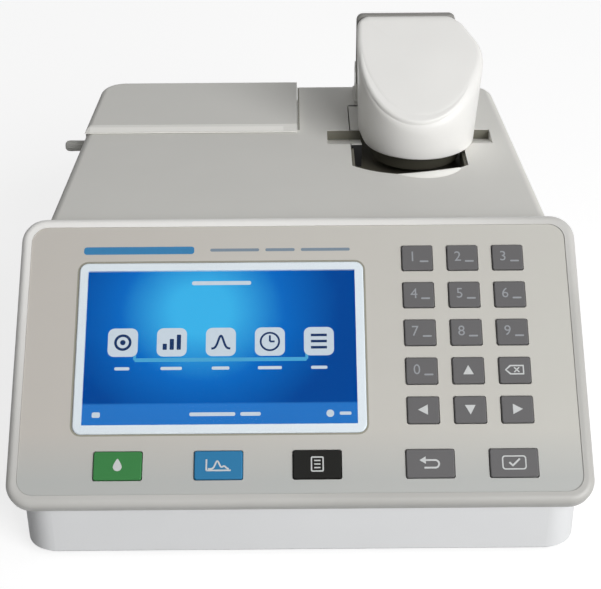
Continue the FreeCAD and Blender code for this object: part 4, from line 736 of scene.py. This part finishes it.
@dataclass
class ScreenPicture:
    """A plain menu on the screen: five tiles, their captions as bars, and a strip below."""

    plane: PanelPlane
    depth: float = -2.3
    centre_u: float = -31.3
    tile_v: float = 67.0
    tile: float = 12.0
    tile_corner: float = 2.6
    spacing: float = 19.6
    caption_widths: tuple[float, ...] = (6.0, 8.5, 7.0, 9.5, 6.5)
    lines: tuple[tuple[float, ...], ...] = (
        (-31.3, 92.3, 24.0, 1.7, 0.7), (-34.3, 37.0, 18.0, 1.5, 0.6), (-19.3, 37.0, 8.0, 1.5, 0.6),
        (12.0, 37.0, 3.0, 3.0, 1.4), (-80.0, 37.0, 3.2, 2.2, 0.6), (18.0, 37.0, 4.6, 1.3, 0.5))

    def spot(self, index: int, rise: float = 0.0) -> Spot:
        """The middle of a tile, counted from the middle one, or a point above it."""
        return self.centre_u + index * self.spacing, self.tile_v + rise

    def tiles(self) -> Surface:
        """Five tiles with round corners, in a straight row."""
        return joined(*[filled(round_box(self.spot(index), self.tile, self.tile, self.tile_corner))
                        for index in range(-2, 3)])

    def captions(self) -> Surface:
        """Bars that stand for the captions, the title and the lines in the strip."""
        rows = [round_box(self.spot(index, -11.0), width, 1.3, 0.5)
                for index, width in enumerate(self.caption_widths, -2)]
        rows += [round_box((u, v), width, height, corner) for u, v, width, height, corner in self.lines]
        return joined(*[filled(row) for row in rows])

    def shelf(self) -> Surface:
        """A pale bar behind the three middle tiles, with a short upturn at each end."""
        low, half = self.tile_v - 0.62 * self.tile, 1.75 * self.spacing
        ends = [bar((self.centre_u + side * half, low), (self.centre_u + side * half, low + 4.0), 1.2)
                for side in (-1.0, 1.0)]
        return joined(filled(round_box((self.centre_u, low), 2.0 * half, 1.6, 0.3)), *ends)

    def signs(self) -> Surface:
        """The signs on the tiles: a ring with a dot, bars, a curve, a dial and lines."""
        target = joined(band(arc(MIDDLE, 2.4), arc(MIDDLE, 3.5)), filled(arc(MIDDLE, 1.1)))
        columns = joined(*[filled(round_box((u, height / 2.0 - 3.2), 1.7, height, 0.3))
                           for u, height in ((-2.8, 2.6), (0.0, 4.6), (2.8, 6.4))])
        u = np.linspace(-3.8, 3.8, 40)
        bell = stroke(np.stack([u, 5.4 * np.exp(-(u / 1.5) ** 2) - 2.8], axis=1), 0.9)
        dial = joined(band(arc(MIDDLE, 3.3), arc(MIDDLE, 4.1)),
                      bar(MIDDLE, (0.0, 2.6), 0.8), bar(MIDDLE, (1.9, 0.0), 0.8))
        rows = joined(*[bar((-3.2, v), (3.2, v), 1.1) for v in (2.6, 0.0, -2.6)])
        drawn = enumerate((target, columns, bell, dial, rows), -2)
        return joined(*[moved(sign, self.spot(index)) for index, sign in drawn])

    def build(self, tile_ink: Material, sign_ink: Material, shelf_ink: Material) -> None:
        """Lay the picture between the screen module and its glass.

        Args:
            tile_ink: The finish of the tiles and captions.
            sign_ink: The finish of the signs on the tiles.
            shelf_ink: The finish of the bar behind the tiles.
        """
        for name, surface, ink, out in (("screen_shelf", self.shelf(), shelf_ink, 0.01),
                                        ("screen_tiles", self.tiles(), tile_ink, 0.02),
                                        ("screen_captions", self.captions(), tile_ink, 0.02),
                                        ("screen_signs", self.signs(), sign_ink, 0.06)):
            make_piece(name, self.plane.lay(surface, self.depth + out), ink)


@dataclass
class PanelPrint:
    """Plain printed stripes above the screen, and a dark line of painted shade round its ring."""

    plane: PanelPlane
    film_top: float = -0.3
    print_thick: float = 0.03
    row: float = 106.0
    ring_centre: Spot = (-31.3, 64.5)
    ring_size: Spot = (116.7, 73.5)
    ring_corners: Spot = (4.3, 3.6)
    outline: float = 0.7
    gray_runs: Spots = ((-26.0, 20.0), (-7.5, 12.0), (11.0, 20.0))

    def build(self, blue: Material, gray: Material, olive: Material) -> None:
        """A broad blue stripe, a thin gray one in three lengths, and a dark line of painted shade round the
        screen's ring.
        """
        # painted shade along the ring's outer edge
        ring = moved(bordered_box(*self.ring_size, *self.ring_corners, self.outline), self.ring_centre)
        broad = filled(round_box((-65.0, self.row), 45.0, 3.3, 1.2))
        thin = joined(*[filled(round_box((u, self.row), width, 1.3, 0.6)) for u, width in self.gray_runs])
        for name, surface, ink in (("ring_shade_line", ring, olive), ("panel_blue_stripe", broad, blue),
                                   ("panel_gray_stripe", thin, gray)):
            laid = self.plane.lay(surface, self.film_top)
            make_piece(name, laid, ink, thick=self.print_thick)


@dataclass
class DeckTrim:
    """Thin sheets of painted shade and painted highlight round the stage and on the printer cover."""

    deck: float = 101.5
    scoop_ends: Spots = ((14.0, 29.6), (76.3, 89.8))
    scoop_front: float = 171.5
    scoop_back: float = 186.4
    scoop_depth: float = 4.7
    channel: Spot = (50.3, 139.4)
    channel_radius: float = 40.6
    lip_angles: Spot = (-9.0, 33.0)
    lip_points: int = 56
    lip_width: float = 4.6
    lip_rise: float = 1.7
    lip_hump: Spots = (
        (0.0, 0.0), (0.06, 0.6), (0.16, 0.95), (0.3, 1.0), (0.6, 0.62), (0.85, 0.2), (1.0, 0.0))
    cover_edge: tuple[Spot, Spot] = ((189.0, 104.1), (184.0, 102.4))
    cover_ends: Spot = (-97.0, -6.5)
    step_shade_ends: Spot = (0.5, 1.1)
    step_shade_run: Spot = (187.5, 238.0)
    lift: float = 0.06

    def patch(self, x_ends: Spot, near: Spot | np.ndarray, far: Spot | np.ndarray) -> Surface:
        """A flat strip across X between two lines, each given as (y, z) in the drawing's Y."""
        x, share = np.linspace(*x_ends, 12), np.linspace(0.0, 1.0, 4)
        along = np.array(near) + share[:, None] * (np.array(far) - np.array(near))
        y, z = np.repeat(along[:, 0] - SETBACK, 12), np.repeat(along[:, 1], 12)
        points = np.column_stack([np.tile(x, 4), y, z])
        return points, grid_faces(4, 12)

    def back_wall_shade(self) -> Surface:
        """Dark sheets of painted shade on the back walls of both scoops."""
        foot, top = self.deck - self.scoop_depth + 0.2, self.deck - 0.15
        return joined(*[self.patch(ends, (self.scoop_back - 0.35, foot), (self.scoop_back + 0.15, top))
                        for ends in self.scoop_ends])

    def slope(self) -> Surface:
        """Bright sheets of painted highlight on the sloping floors of both scoops."""
        fall = self.scoop_depth / (self.scoop_back - self.scoop_front)
        near, far = ((y, self.deck - (y - self.scoop_front) * fall + self.lift)
                     for y in (self.scoop_front + 1.0, self.scoop_back - 3.0))
        return joined(*[self.patch((low + 0.3, high - 0.3), near, far) for low, high in self.scoop_ends])

    def lip(self) -> Surface:
        """The raised edge along the channel's curved front, widest right of its middle, in a white brighter
        than the deck as painted highlight.

        Each row runs along an arc. lip_hump gives the rows' steps outward and heights as shares.
        """
        angle = np.radians(np.linspace(*self.lip_angles, self.lip_points))
        swell = np.sin(np.pi * np.linspace(0.0, 1.0, self.lip_points) ** 1.15) ** 0.7
        width, centre_y = self.lip_width * swell + 0.05, self.channel[1] + self.channel_radius - SETBACK
        rows = []
        for step, rise in self.lip_hump:
            radius = self.channel_radius + 0.15 + step * width
            rows.append(np.stack([self.channel[0] + radius * np.sin(angle), centre_y - radius * np.cos(angle),
                                  self.deck + self.lift + rise * self.lip_rise * swell], axis=1))
        return np.concatenate(rows), grid_faces(len(rows), self.lip_points)[:, ::-1]

    def cover_highlight(self) -> Surface:
        """A bright line of painted highlight on the front slope of the printer cover, raised along the slope's
        normal.
        """
        top, foot = np.array(self.cover_edge)
        out = np.array([-0.32, 0.95]) * self.lift
        near, far = (top + share * (foot - top) + out for share in (0.9, 0.3))
        return self.patch(self.cover_ends, near, far)

    def cover_step_shade(self) -> Surface:
        """A dark strip on the deck beside the printer cover's right end: painted shade of the step there."""
        near, far = ((y, self.deck + self.lift) for y in self.step_shade_run)
        return self.patch(self.step_shade_ends, near, far)

    def build(self, dark: Material, bright: Material) -> None:
        """Lay the painted shade and painted highlights on the case and on the cover."""
        # painted shade beside the cover's right end
        make_piece("cover_step_shade", self.cover_step_shade(), dark)
        # painted shade on the scoops' back walls
        make_piece("scoop_shade_sheets", self.back_wall_shade(), dark)
        # painted highlight on the scoops' sloping floors
        make_piece("scoop_slope_highlights", self.slope(), bright)
        # a raised lip, brighter than the deck as painted highlight
        make_piece("channel_lip", self.lip(), bright)
        # painted highlight on the printer cover's front slope
        make_piece("cover_highlight", self.cover_highlight(), bright, "lid")


@dataclass
class HeadCover:
    """The white cover of the measuring head: a flared round front, a flat back and a slanted top."""

    axis: Spot = (55.7, 178.5)
    radius: float = 25.8
    plan_points: int = 200
    softening: int = 6
    flare: float = 4.0
    flare_height: float = 40.0
    bottom: float = 101.72
    bottom_edge: float = 0.95
    block: Triple = (49.4, 21.7, 192.2)
    top_over_axis: float = 144.98
    slope: float = 43.0
    top_edge: Spots = ((164.5, 4.2), (182.5, 2.6), (188.7, 2.6), (191.2, 4.0))
    crown: float = 0.7
    edge_steps: int = 5
    steps: int = 9
    plate_box: tuple[Spot, Spot] = ((49.65, 138.5), (44.7, 35.0))
    plate_corner: float = 3.0
    plate_reach: float = 20.2
    plate_profile: Spots = (
        (20.0, 191.9), (0.5, 191.9), (0.0, 192.4), (0.0, 194.6), (0.5, 195.2), (20.0, 195.2))

    def outline(self, radius: float, inset: float = 0.0) -> np.ndarray:
        """The head's plan: half a circle and a narrower back, with corners softened by averaging along it.

        Args:
            radius: The front's radius before the inset.
            inset: How far the plan is drawn in along its normals.

        Returns:
            The plan's points (x, y) in the drawing's Y, counter-clockwise.
        """
        middle, half, back = self.block
        front = arc(self.axis, radius, 180.0, 360.0, 91)
        raw = np.concatenate([front, [(middle + half, back), (middle - half, back)], front[:1]])
        run = np.concatenate([[0.0], np.cumsum(np.linalg.norm(np.diff(raw, axis=0), axis=1))])
        even = np.linspace(0.0, run[-1], self.plan_points, endpoint=False)
        ring = np.stack([np.interp(even, run, raw[:, 0]), np.interp(even, run, raw[:, 1])], axis=1)
        reach = range(-self.softening, self.softening + 1)
        ring = np.mean([np.roll(ring, shift, axis=0) for shift in reach], axis=0)
        along = np.roll(ring, -1, axis=0) - np.roll(ring, 1, axis=0)
        inward = np.stack([-along[:, 1], along[:, 0]], axis=1) / np.linalg.norm(along, axis=1)[:, None]
        return ring + inset * inward

    def height(self, y: np.ndarray) -> np.ndarray:
        """The slanted top's height over each Y."""
        return self.top_over_axis + (y - self.axis[1]) * math.tan(math.radians(self.slope))

    def cover(self) -> Surface:
        """Rows of plans from the turned-in lower edge up the wall, over the round edge and in to the middle.

        The round edge goes in by r (1 - cos t) and stays r (1 - sin t) under the slanted plane.
        """
        wide = self.outline(self.radius)
        flared = self.radius + math.tan(math.radians(self.flare)) * self.flare_height
        level = self.outline(flared)
        inward = self.outline(flared, 1.0) - level
        edge_radius = np.interp(level[:, 1], *np.transpose(self.top_edge))
        rows = []
        for turn in np.radians(np.linspace(0.0, 90.0, self.edge_steps)):
            plan = self.outline(self.radius, self.bottom_edge * (1.0 - math.sin(turn)))
            rows.append(raised(plan, self.bottom + self.bottom_edge * (1.0 - math.cos(turn))))
        foot, wall_top = rows[-1][:, 2], self.height(level[:, 1]) - edge_radius
        for share in np.linspace(0.0, 1.0, self.steps)[1:]:
            z = foot + share * (wall_top - foot)
            lean = (z - self.bottom)[:, None] / self.flare_height
            rows.append(raised(wide + lean * (level - wide), z))
        edge = rows[-1][:, :2]
        for turn in np.radians(np.linspace(0.0, 90.0, self.steps)[1:]):
            plan = edge + (edge_radius * (1.0 - math.cos(turn)))[:, None] * inward
            rows.append(raised(plan, self.height(plan[:, 1]) - edge_radius * (1.0 - math.sin(turn))))
        rim, middle = rows[-1][:, :2], rows[-1][:, :2].mean(axis=0)
        for share in np.linspace(1.0, 0.0, self.steps)[1:]:
            plan = middle + share * (rim - middle)
            rows.append(raised(plan, self.height(plan[:, 1]) + self.crown * (1.0 - share ** 2) ** 2))
        return np.concatenate(rows) - [0.0, SETBACK, 0.0], grid_faces(len(rows), len(rim), closed=True)

    def back_plate(self) -> Surface:
        """A gray plate on the rear cover's outline in XZ, drawn through its thickness and a little proud of
        the head: painted shade along the head's top back edge.
        """
        centre, (width, height) = self.plate_box
        ring = round_box(centre, width, height, self.plate_corner, 8)
        rows = []
        for inset, y in self.plate_profile:
            drawn = np.array(centre) + (ring - np.array(centre)) * (1.0 - inset / self.plate_reach)
            rows.append(np.column_stack([drawn[:, 0], np.full(len(drawn), y - SETBACK), drawn[:, 1]]))
        return np.concatenate(rows), grid_faces(len(rows), len(ring), closed=True)

    def build(self, white: Material, gray: Material) -> None:
        """Put the cover and its rear plate of painted shade on the arm."""
        # painted shade: a gray plate along the head's top back edge
        make_piece("head_back_shade_plate", self.back_plate(), gray, "arm", smooth=True)
        make_piece("head_cover", self.cover(), white, "arm", smooth=True)


@dataclass
class ChannelShoulder:
    """The white shoulder between the left scoop and the head, with the scoop's hollow carried across it."""

    ends: Spot = (24.9, 29.6)
    profile: Spots = (
        (170.9, 90.1), (170.9, 101.5), (171.5, 101.5), (186.9, 96.8), (187.0, 101.5), (216.4, 101.5),
        (216.4, 90.1))

    def build(self, white: Material, black: Material) -> None:
        """Carry the profile across X, close both ends and lay a black sheet of painted shade on the face
        towards the stage.
        """
        side = np.array(self.profile)
        count = len(side)
        points = np.concatenate([np.column_stack([np.full(count, x), side[:, 0] - SETBACK, side[:, 1]])
                                 for x in self.ends])
        faces = grid_faces(2, count, closed=True).tolist()
        faces += [list(range(count)), list(range(2 * count - 1, count - 1, -1))]
        make_piece("channel_shoulder", (points, faces), white)
        # painted shade: a black sheet on the shoulder's face towards the stage
        low, high = self.ends
        front, foot, top = side[0][0] - 0.1 - SETBACK, side[0][1], side[1][1] - 0.1
        points = np.array([(low, front, foot), (high, front, foot), (high, front, top), (low, front, top)])
        make_piece("shoulder_shade_face", (points, [[0, 1, 2, 3]]), black)


@dataclass
class KnobGrip:
    """The fluted grip on the outer end of the paper feed knob."""

    axis: Spot = (195.6, 90.6)
    profile: Spots = (
        (-99.9, 2.25), (-100.2, 2.4), (-108.6, 2.5), (-109.9, 2.2), (-110.6, 1.5), (-110.8, 0.02))
    around: int = 96
    flutes: int = 12
    flute_depth: float = 0.04

    def build(self, gray: Material) -> None:
        """Turn the profile about X: the radius dips once for each flute."""
        angle = np.linspace(0.0, 2.0 * math.pi, self.around, endpoint=False)
        ripple = 1.0 + self.flute_depth * np.cos(self.flutes * angle)
        y, z = ripple * np.cos(angle), ripple * np.sin(angle)
        rows = [np.column_stack([np.full(self.around, x), self.axis[0] - SETBACK + radius * y,
                                 self.axis[1] + radius * z]) for x, radius in self.profile]
        grip = np.concatenate(rows), grid_faces(len(rows), self.around, closed=True)[:, ::-1]
        make_piece("knob_grip", grip, gray, "feed_roller", smooth=True)


@dataclass
class HiddenTrim:
    """What shows at the back, under the case and with the printer's cover open."""

    roll: Triple = (219.0, 73.0, 17.55)
    platen: Triple = (195.6, 90.6, 5.55)
    paper_x: Spot = (-74.5, -17.5)
    wrap: float = 78.0
    screws: Spots = ((99.11, 60.0), (92.02, 196.0))
    screw_under: float = 3.48
    cross_arm: float = 1.9
    cross_width: float = 0.8
    rocker_x: float = 58.0
    rocker_axis: Spot = (240.5, 17.1)
    rocker_lean: float = 8.0
    rocker_face: Spot = (1.38, 0.7)
    rocker_half: float = 8.2

    def strip(self) -> Surface:
        """The paper from the top of the roll over the platen: a tangent, then an arc."""
        start, end = np.array(self.roll[:2]), np.array(self.platen[:2])
        span = float(np.linalg.norm(end - start))
        ahead = (end - start) / span
        across = np.array([ahead[1], -ahead[0]])
        share = (self.roll[2] - self.platen[2]) / span
        outward = share * ahead + math.sqrt(1.0 - share ** 2) * across
        first = math.degrees(math.atan2(outward[1], outward[0]))
        path = np.concatenate([[start + self.roll[2] * outward],
                               arc(self.platen[:2], self.platen[2], first, first + self.wrap, 14)])
        count = len(path)
        points = np.stack([np.tile(self.paper_x, count), np.repeat(path[:, 0] - SETBACK, 2),
                           np.repeat(path[:, 1], 2)], axis=1)
        return points, grid_faces(count, 2)

    def recess_shade(self) -> Surface:
        """A dark cross on each of the four screw heads under the case: painted shade in the hollow of each
        cross.
        """
        arm, width = self.cross_arm, self.cross_width
        cross = joined(bar((-arm, 0.0), (arm, 0.0), width), bar((0.0, -arm), (0.0, arm), width))
        spots = [(side * x, y - SETBACK) for x, y in self.screws for side in (-1.0, 1.0)]
        points, faces = joined(*[moved(cross, spot) for spot in spots])
        return raised(points, self.screw_under), faces[:, ::-1]

    def switch_signs(self) -> Surface:
        """A bar and a ring on the two halves of the rocker."""
        low = (0.0, -4.7)
        points, faces = joined(bar((0.0, 3.0), (0.0, 6.2), 0.7), band(arc(low, 1.2), arc(low, 1.8)))
        lean, v = math.radians(self.rocker_lean), points[:, 1]
        out = self.rocker_face[0] + np.abs(v) * self.rocker_face[1] / self.rocker_half
        y = self.rocker_axis[0] + out * math.cos(lean) - v * math.sin(lean) - SETBACK
        z = self.rocker_axis[1] + out * math.sin(lean) + v * math.cos(lean)
        return np.stack([self.rocker_x - points[:, 0], y, z], axis=1), faces

    def build(self, paper: Material, dark: Material, ink: Material) -> None:
        """Put the hidden trim in place."""
        make_piece("paper_strip", self.strip(), paper)
        # painted shade in the hollows of the screw heads
        make_piece("screw_recess_shade", self.recess_shade(), dark)
        make_piece("rocker_signs", self.switch_signs(), ink, "rocker")


@dataclass
class Studio:
    """The floor, the lights and the camera."""

    focal_px: float = 1411.0
    photo_width: int = 601
    eye: Triple = (-0.665, -543.306, 375.0)
    yaw: float = 0.0028
    pitch: float = 0.5386
    roll: float = -0.0064
    sensor: float = 36.0
    slant: Triple = (0.85, -0.25, 0.15)
    fill: float = 0.2
    floor_reach: float = 9.0
    floor_colour: Colour = (0.3, 0.3, 0.3)
    seen_colour: Colour = (0.42, 0.42, 0.42)
    seen_glow: float = 0.76
    aim_height: float = 0.06

    def camera(self) -> None:
        """A camera that sees the object as the photograph does."""
        forward = np.array([math.sin(self.yaw) * math.cos(self.pitch),
                            math.cos(self.yaw) * math.cos(self.pitch), -math.sin(self.pitch)])
        level = np.array([math.cos(self.yaw), -math.sin(self.yaw), 0.0])
        upward = np.cross(level, forward)
        right = level * math.cos(self.roll) + upward * math.sin(self.roll)
        top = upward * math.cos(self.roll) - level * math.sin(self.roll)
        lens = bpy.data.cameras.new("camera")
        lens.sensor_fit, lens.sensor_width = "HORIZONTAL", self.sensor
        lens.lens = self.focal_px * self.sensor / self.photo_width
        lens.clip_start, lens.clip_end = 0.01, 50.0
        holder = add_object("camera", lens)
        holder.matrix_world = turned([right, top, -forward], np.array(self.eye) * MM)
        bpy.context.scene.camera = holder

    def lamp(self, name: str, toward: Triple, distance: float, size: float, level: float) -> None:
        """An area lamp that faces the object.

        Args:
            name: The lamp's name.
            toward: The direction from the object to the lamp.
            distance: Its distance in metres.
            size: Its side in metres.
            level: The light on a white surface that faces it, where 1 renders as white.
        """
        light = bpy.data.lights.new(name, "AREA")
        light.size = size
        light.energy = level * math.pi ** 2 * distance ** 2
        aim = np.array(toward) / np.linalg.norm(toward)
        side = np.cross([0.0, 0.0, 1.0], aim)
        side /= np.linalg.norm(side)
        place = aim * distance + np.array([0.0, 0.0, self.aim_height])
        holder = add_object(name, light)
        holder.matrix_world, holder.visible_camera = turned([side, np.cross(aim, side), aim], place), False

    def backdrop(self) -> None:
        """A wide pale floor that looks white to the camera and keeps a soft shadow."""
        shader = Shader("studio_floor")
        plain = shader.node("BsdfDiffuse", {"Color": self.floor_colour})
        faint = shader.node("BsdfDiffuse", {"Color": self.seen_colour})
        glow = shader.node("Emission", {"Color": WHITE, "Strength": self.seen_glow})
        shown = shader.node("AddShader", {0: faint.outputs[0], 1: glow.outputs[0]})
        shader.split_view(plain, shown, "OutputMaterial")
        corners = [(x * self.floor_reach, y * self.floor_reach, 0.0)
                   for x, y in ((-1, -1), (1, -1), (1, 1), (-1, 1))]
        mesh = bpy.data.meshes.new("floor")
        mesh.from_pydata(corners, [], [(0, 1, 2, 3)])
        mesh.materials.append(shader.owner)
        floor = add_object("floor", mesh)

    def world(self) -> None:
        """A surround that is white to the camera and lights the object more from its bright side."""
        shader = Shader("surround", is_world=True)
        spot = shader.node("TexCoord").outputs["Generated"]
        aim = shader.node("VectorMath", {0: spot, 1: self.slant}, {"operation": "DOT_PRODUCT"})
        side = shader.node("Math", {0: aim.outputs["Value"], 1: self.fill, 2: self.fill},
                           {"operation": "MULTIPLY_ADD", "use_clamp": True})
        fill = shader.node("Background", {"Color": WHITE, "Strength": side.outputs[0]})
        white = shader.node("Background", {"Color": WHITE})
        shader.split_view(fill, white, "OutputWorld")
        bpy.context.scene.world = shader.owner

    def build(self) -> None:
        """Everything that isn't part of the object."""
        self.camera()
        self.backdrop()
        self.world()
        self.lamp("window", (0.50, -0.66, 0.38), 1.7, 1.15, 0.87)
        self.lamp("rear_fill", (0.15, 0.9, 0.04), 1.7, 1.0, 0.14)
        bpy.context.scene.view_settings.view_transform = "Standard"


@dataclass
class Finishes:
    """Every finish of the object, and the nodes that wear it."""

    plane: PanelPlane
    key_edge: float = 0.25
    key_angle: float = 25.0

    def build(self) -> dict[str, Material]:
        """The materials by name. A plastic's row is its red, green, blue, roughness and gloss."""
        plastics = {
            "case_white": (238, 237, 232, 0.55, 0.12), "arm_white": (241, 240, 237, 0.38),
            "base_white": (233, 234, 235, 0.5, 0.25), "knob_gray": (206, 205, 200, 0.5),
            # The last gray on the next line is painted shade for the head's rear plate.
            "bucket_gray": (172, 172, 168, 0.5), "back_edge_shade_gray": (134, 133, 129, 0.5),
            # The first gray on the next line is painted shade for the deck's dark trim.
            "painted_shade_gray": (112, 110, 98, 0.55), "stage_black": (96, 93, 81, 0.55),
            "foot_black": (72, 70, 60, 0.6, 0.3), "black_plastic": (30, 30, 31, 0.5),
            "key_gray": (104, 103, 104, 0.5, 0.3), "key_green": (56, 128, 68, 0.5, 0.3),
            "key_blue": (44, 124, 172, 0.5, 0.3), "key_black": (14, 14, 11, 0.6, 0.2)}
        inks = {"white_ink": (214, 216, 216), "faint_ink": (158, 161, 166), "blue_ink": (52, 132, 184),
                # the last tone on the next line is painted shade round the screen's ring
                "gray_ink": (128, 146, 162), "ring_shade_olive": (158, 156, 142)}
        wanted = [
            *[MouldedPlastic(name, srgb(*row[:3]), *row[3:]) for name, row in plastics.items()],
            *[Ink(name, srgb(*tone)) for name, tone in inks.items()],
            MouldedPlastic("ring_white", srgb(236, 246, 254), 0.28, relief=0.004),
            # a brighter white for painted highlights on the deck and the printer cover
            MouldedPlastic("highlight_white", srgb(250, 249, 244), 0.3, relief=0.004),
            MouldedPlastic("thermal_paper", srgb(240, 240, 236), 0.7, grain=0.2),
            # the front panel's white, with painted shade towards its lower and right sides
            RimPlastic("panel_white", srgb(252, 251, 248), srgb(188, 187, 183), self.plane),
            # the overlay's right colour is lighter than its left as painted light
            PrintedFilm("overlay_film", srgb(202, 197, 190), srgb(207, 206, 199), srgb(186, 189, 187)),
            SoftRubber("foot_rubber", srgb(26, 26, 26)),
            WorkedMetal("ground_steel", srgb(205, 205, 207), 0.2, (0.1, 1.0, 1.0)),
            WorkedMetal("zinc_steel", srgb(186, 188, 190), 0.38, (1.0, 1.0, 0.15)),
            WorkedMetal("dark_anodised", srgb(46, 46, 50), 0.45),
            BoardMask("board_green", srgb(22, 84, 48)),
            ClearGlass("screen_glass"),
            ScreenGlow("screen_glow", self.plane),
            LitInk("lit_white", srgb(226, 240, 252), 0.85),
            LitInk("lit_navy", srgb(24, 58, 112)),
            LitInk("lit_cyan", srgb(84, 190, 244)),
        ]
        return {finish.name: finish.build() for finish in wanted}

    def dress(self, nodes: dict[str, bpy.types.Object], made: dict[str, Material]) -> None:
        """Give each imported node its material.

        Args:
            nodes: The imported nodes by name.
            made: The materials by name.
        """
        wear = {
            "base_white": ["base_tray"], "case_white": ["upper_housing", "arm_bracket", "printer_lid"],
            "panel_white": ["front_panel"], "arm_white": ["arm_shell"], "ring_white": ["display_bezel"],
            "overlay_film": ["panel_overlay"], "screen_glass": ["display_glass"],
            "screen_glow": ["display_module"], "bucket_gray": ["paper_bucket"],
            "thermal_paper": ["paper_roll"], "knob_gray": ["feed_knob"],
            "key_green": ["key_green"], "key_blue": ["key_blue"], "key_black": ["key_black"],
            "stage_black": ["stage_insert"], "foot_black": ["arm_base"],
            "ground_steel": ["lower_pedestal", "upper_pedestal", "arm_hinge_pin", "lid_hinge_pin",
                             "platen_shaft", "bench_optics"],
            "zinc_steel": ["case_screws", "stage_frame", "path_actuator", "usb_socket", "memory_socket"],
            "dark_anodised": ["spectrometer_bench", "spectrometer_cover", "flash_lamp"],
            "foot_rubber": ["rubber_feet", "platen_roller"], "board_green": ["keypad_board", "main_board"],
            "black_plastic": ["key_switches", "paper_spindle", "printer_mechanism", "dc_inlet",
                              "power_switch", "power_rocker", "board_components"],
        }
        finish_of = {node: finish for finish, group in wear.items() for node in group}
        for name, node in nodes.items():
            finish = finish_of.get(name, "key_gray")
            node.data.materials.clear()
            node.data.materials.append(made[finish])
            log.info("%s wears %s", name, finish)
            if name.startswith("key_") and name != "key_switches":
                edges = node.modifiers.new("soft_edges", "BEVEL")
                edges.width, edges.segments, edges.limit_method = self.key_edge * MM, 3, "ANGLE"
                edges.angle_limit = math.radians(self.key_angle)


def main() -> None:
    """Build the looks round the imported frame."""
    logging.basicConfig(level=logging.INFO, format="%(message)s")
    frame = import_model()
    plane = PanelPlane()
    finishes = Finishes(plane)
    made = finishes.build()
    finishes.dress(frame["nodes"], made)
    Studio().build()
    KeyMarks(plane).build(made["white_ink"], made["faint_ink"])
    ScreenPicture(plane).build(made["lit_white"], made["lit_navy"], made["lit_cyan"])
    PanelPrint(plane).build(made["blue_ink"], made["gray_ink"], made["ring_shade_olive"])
    # a dark gray of painted shade and a brighter white of painted highlight for the deck's trim
    DeckTrim().build(made["painted_shade_gray"], made["highlight_white"])
    HeadCover().build(made["arm_white"], made["back_edge_shade_gray"])
    KnobGrip().build(made["knob_gray"])
    ChannelShoulder().build(made["case_white"], made["black_plastic"])
    # the stage's dark plastic also gives the screw heads their painted shade
    HiddenTrim().build(made["thermal_paper"], made["stage_black"], made["white_ink"])


if __name__ == "__main__":
    main()
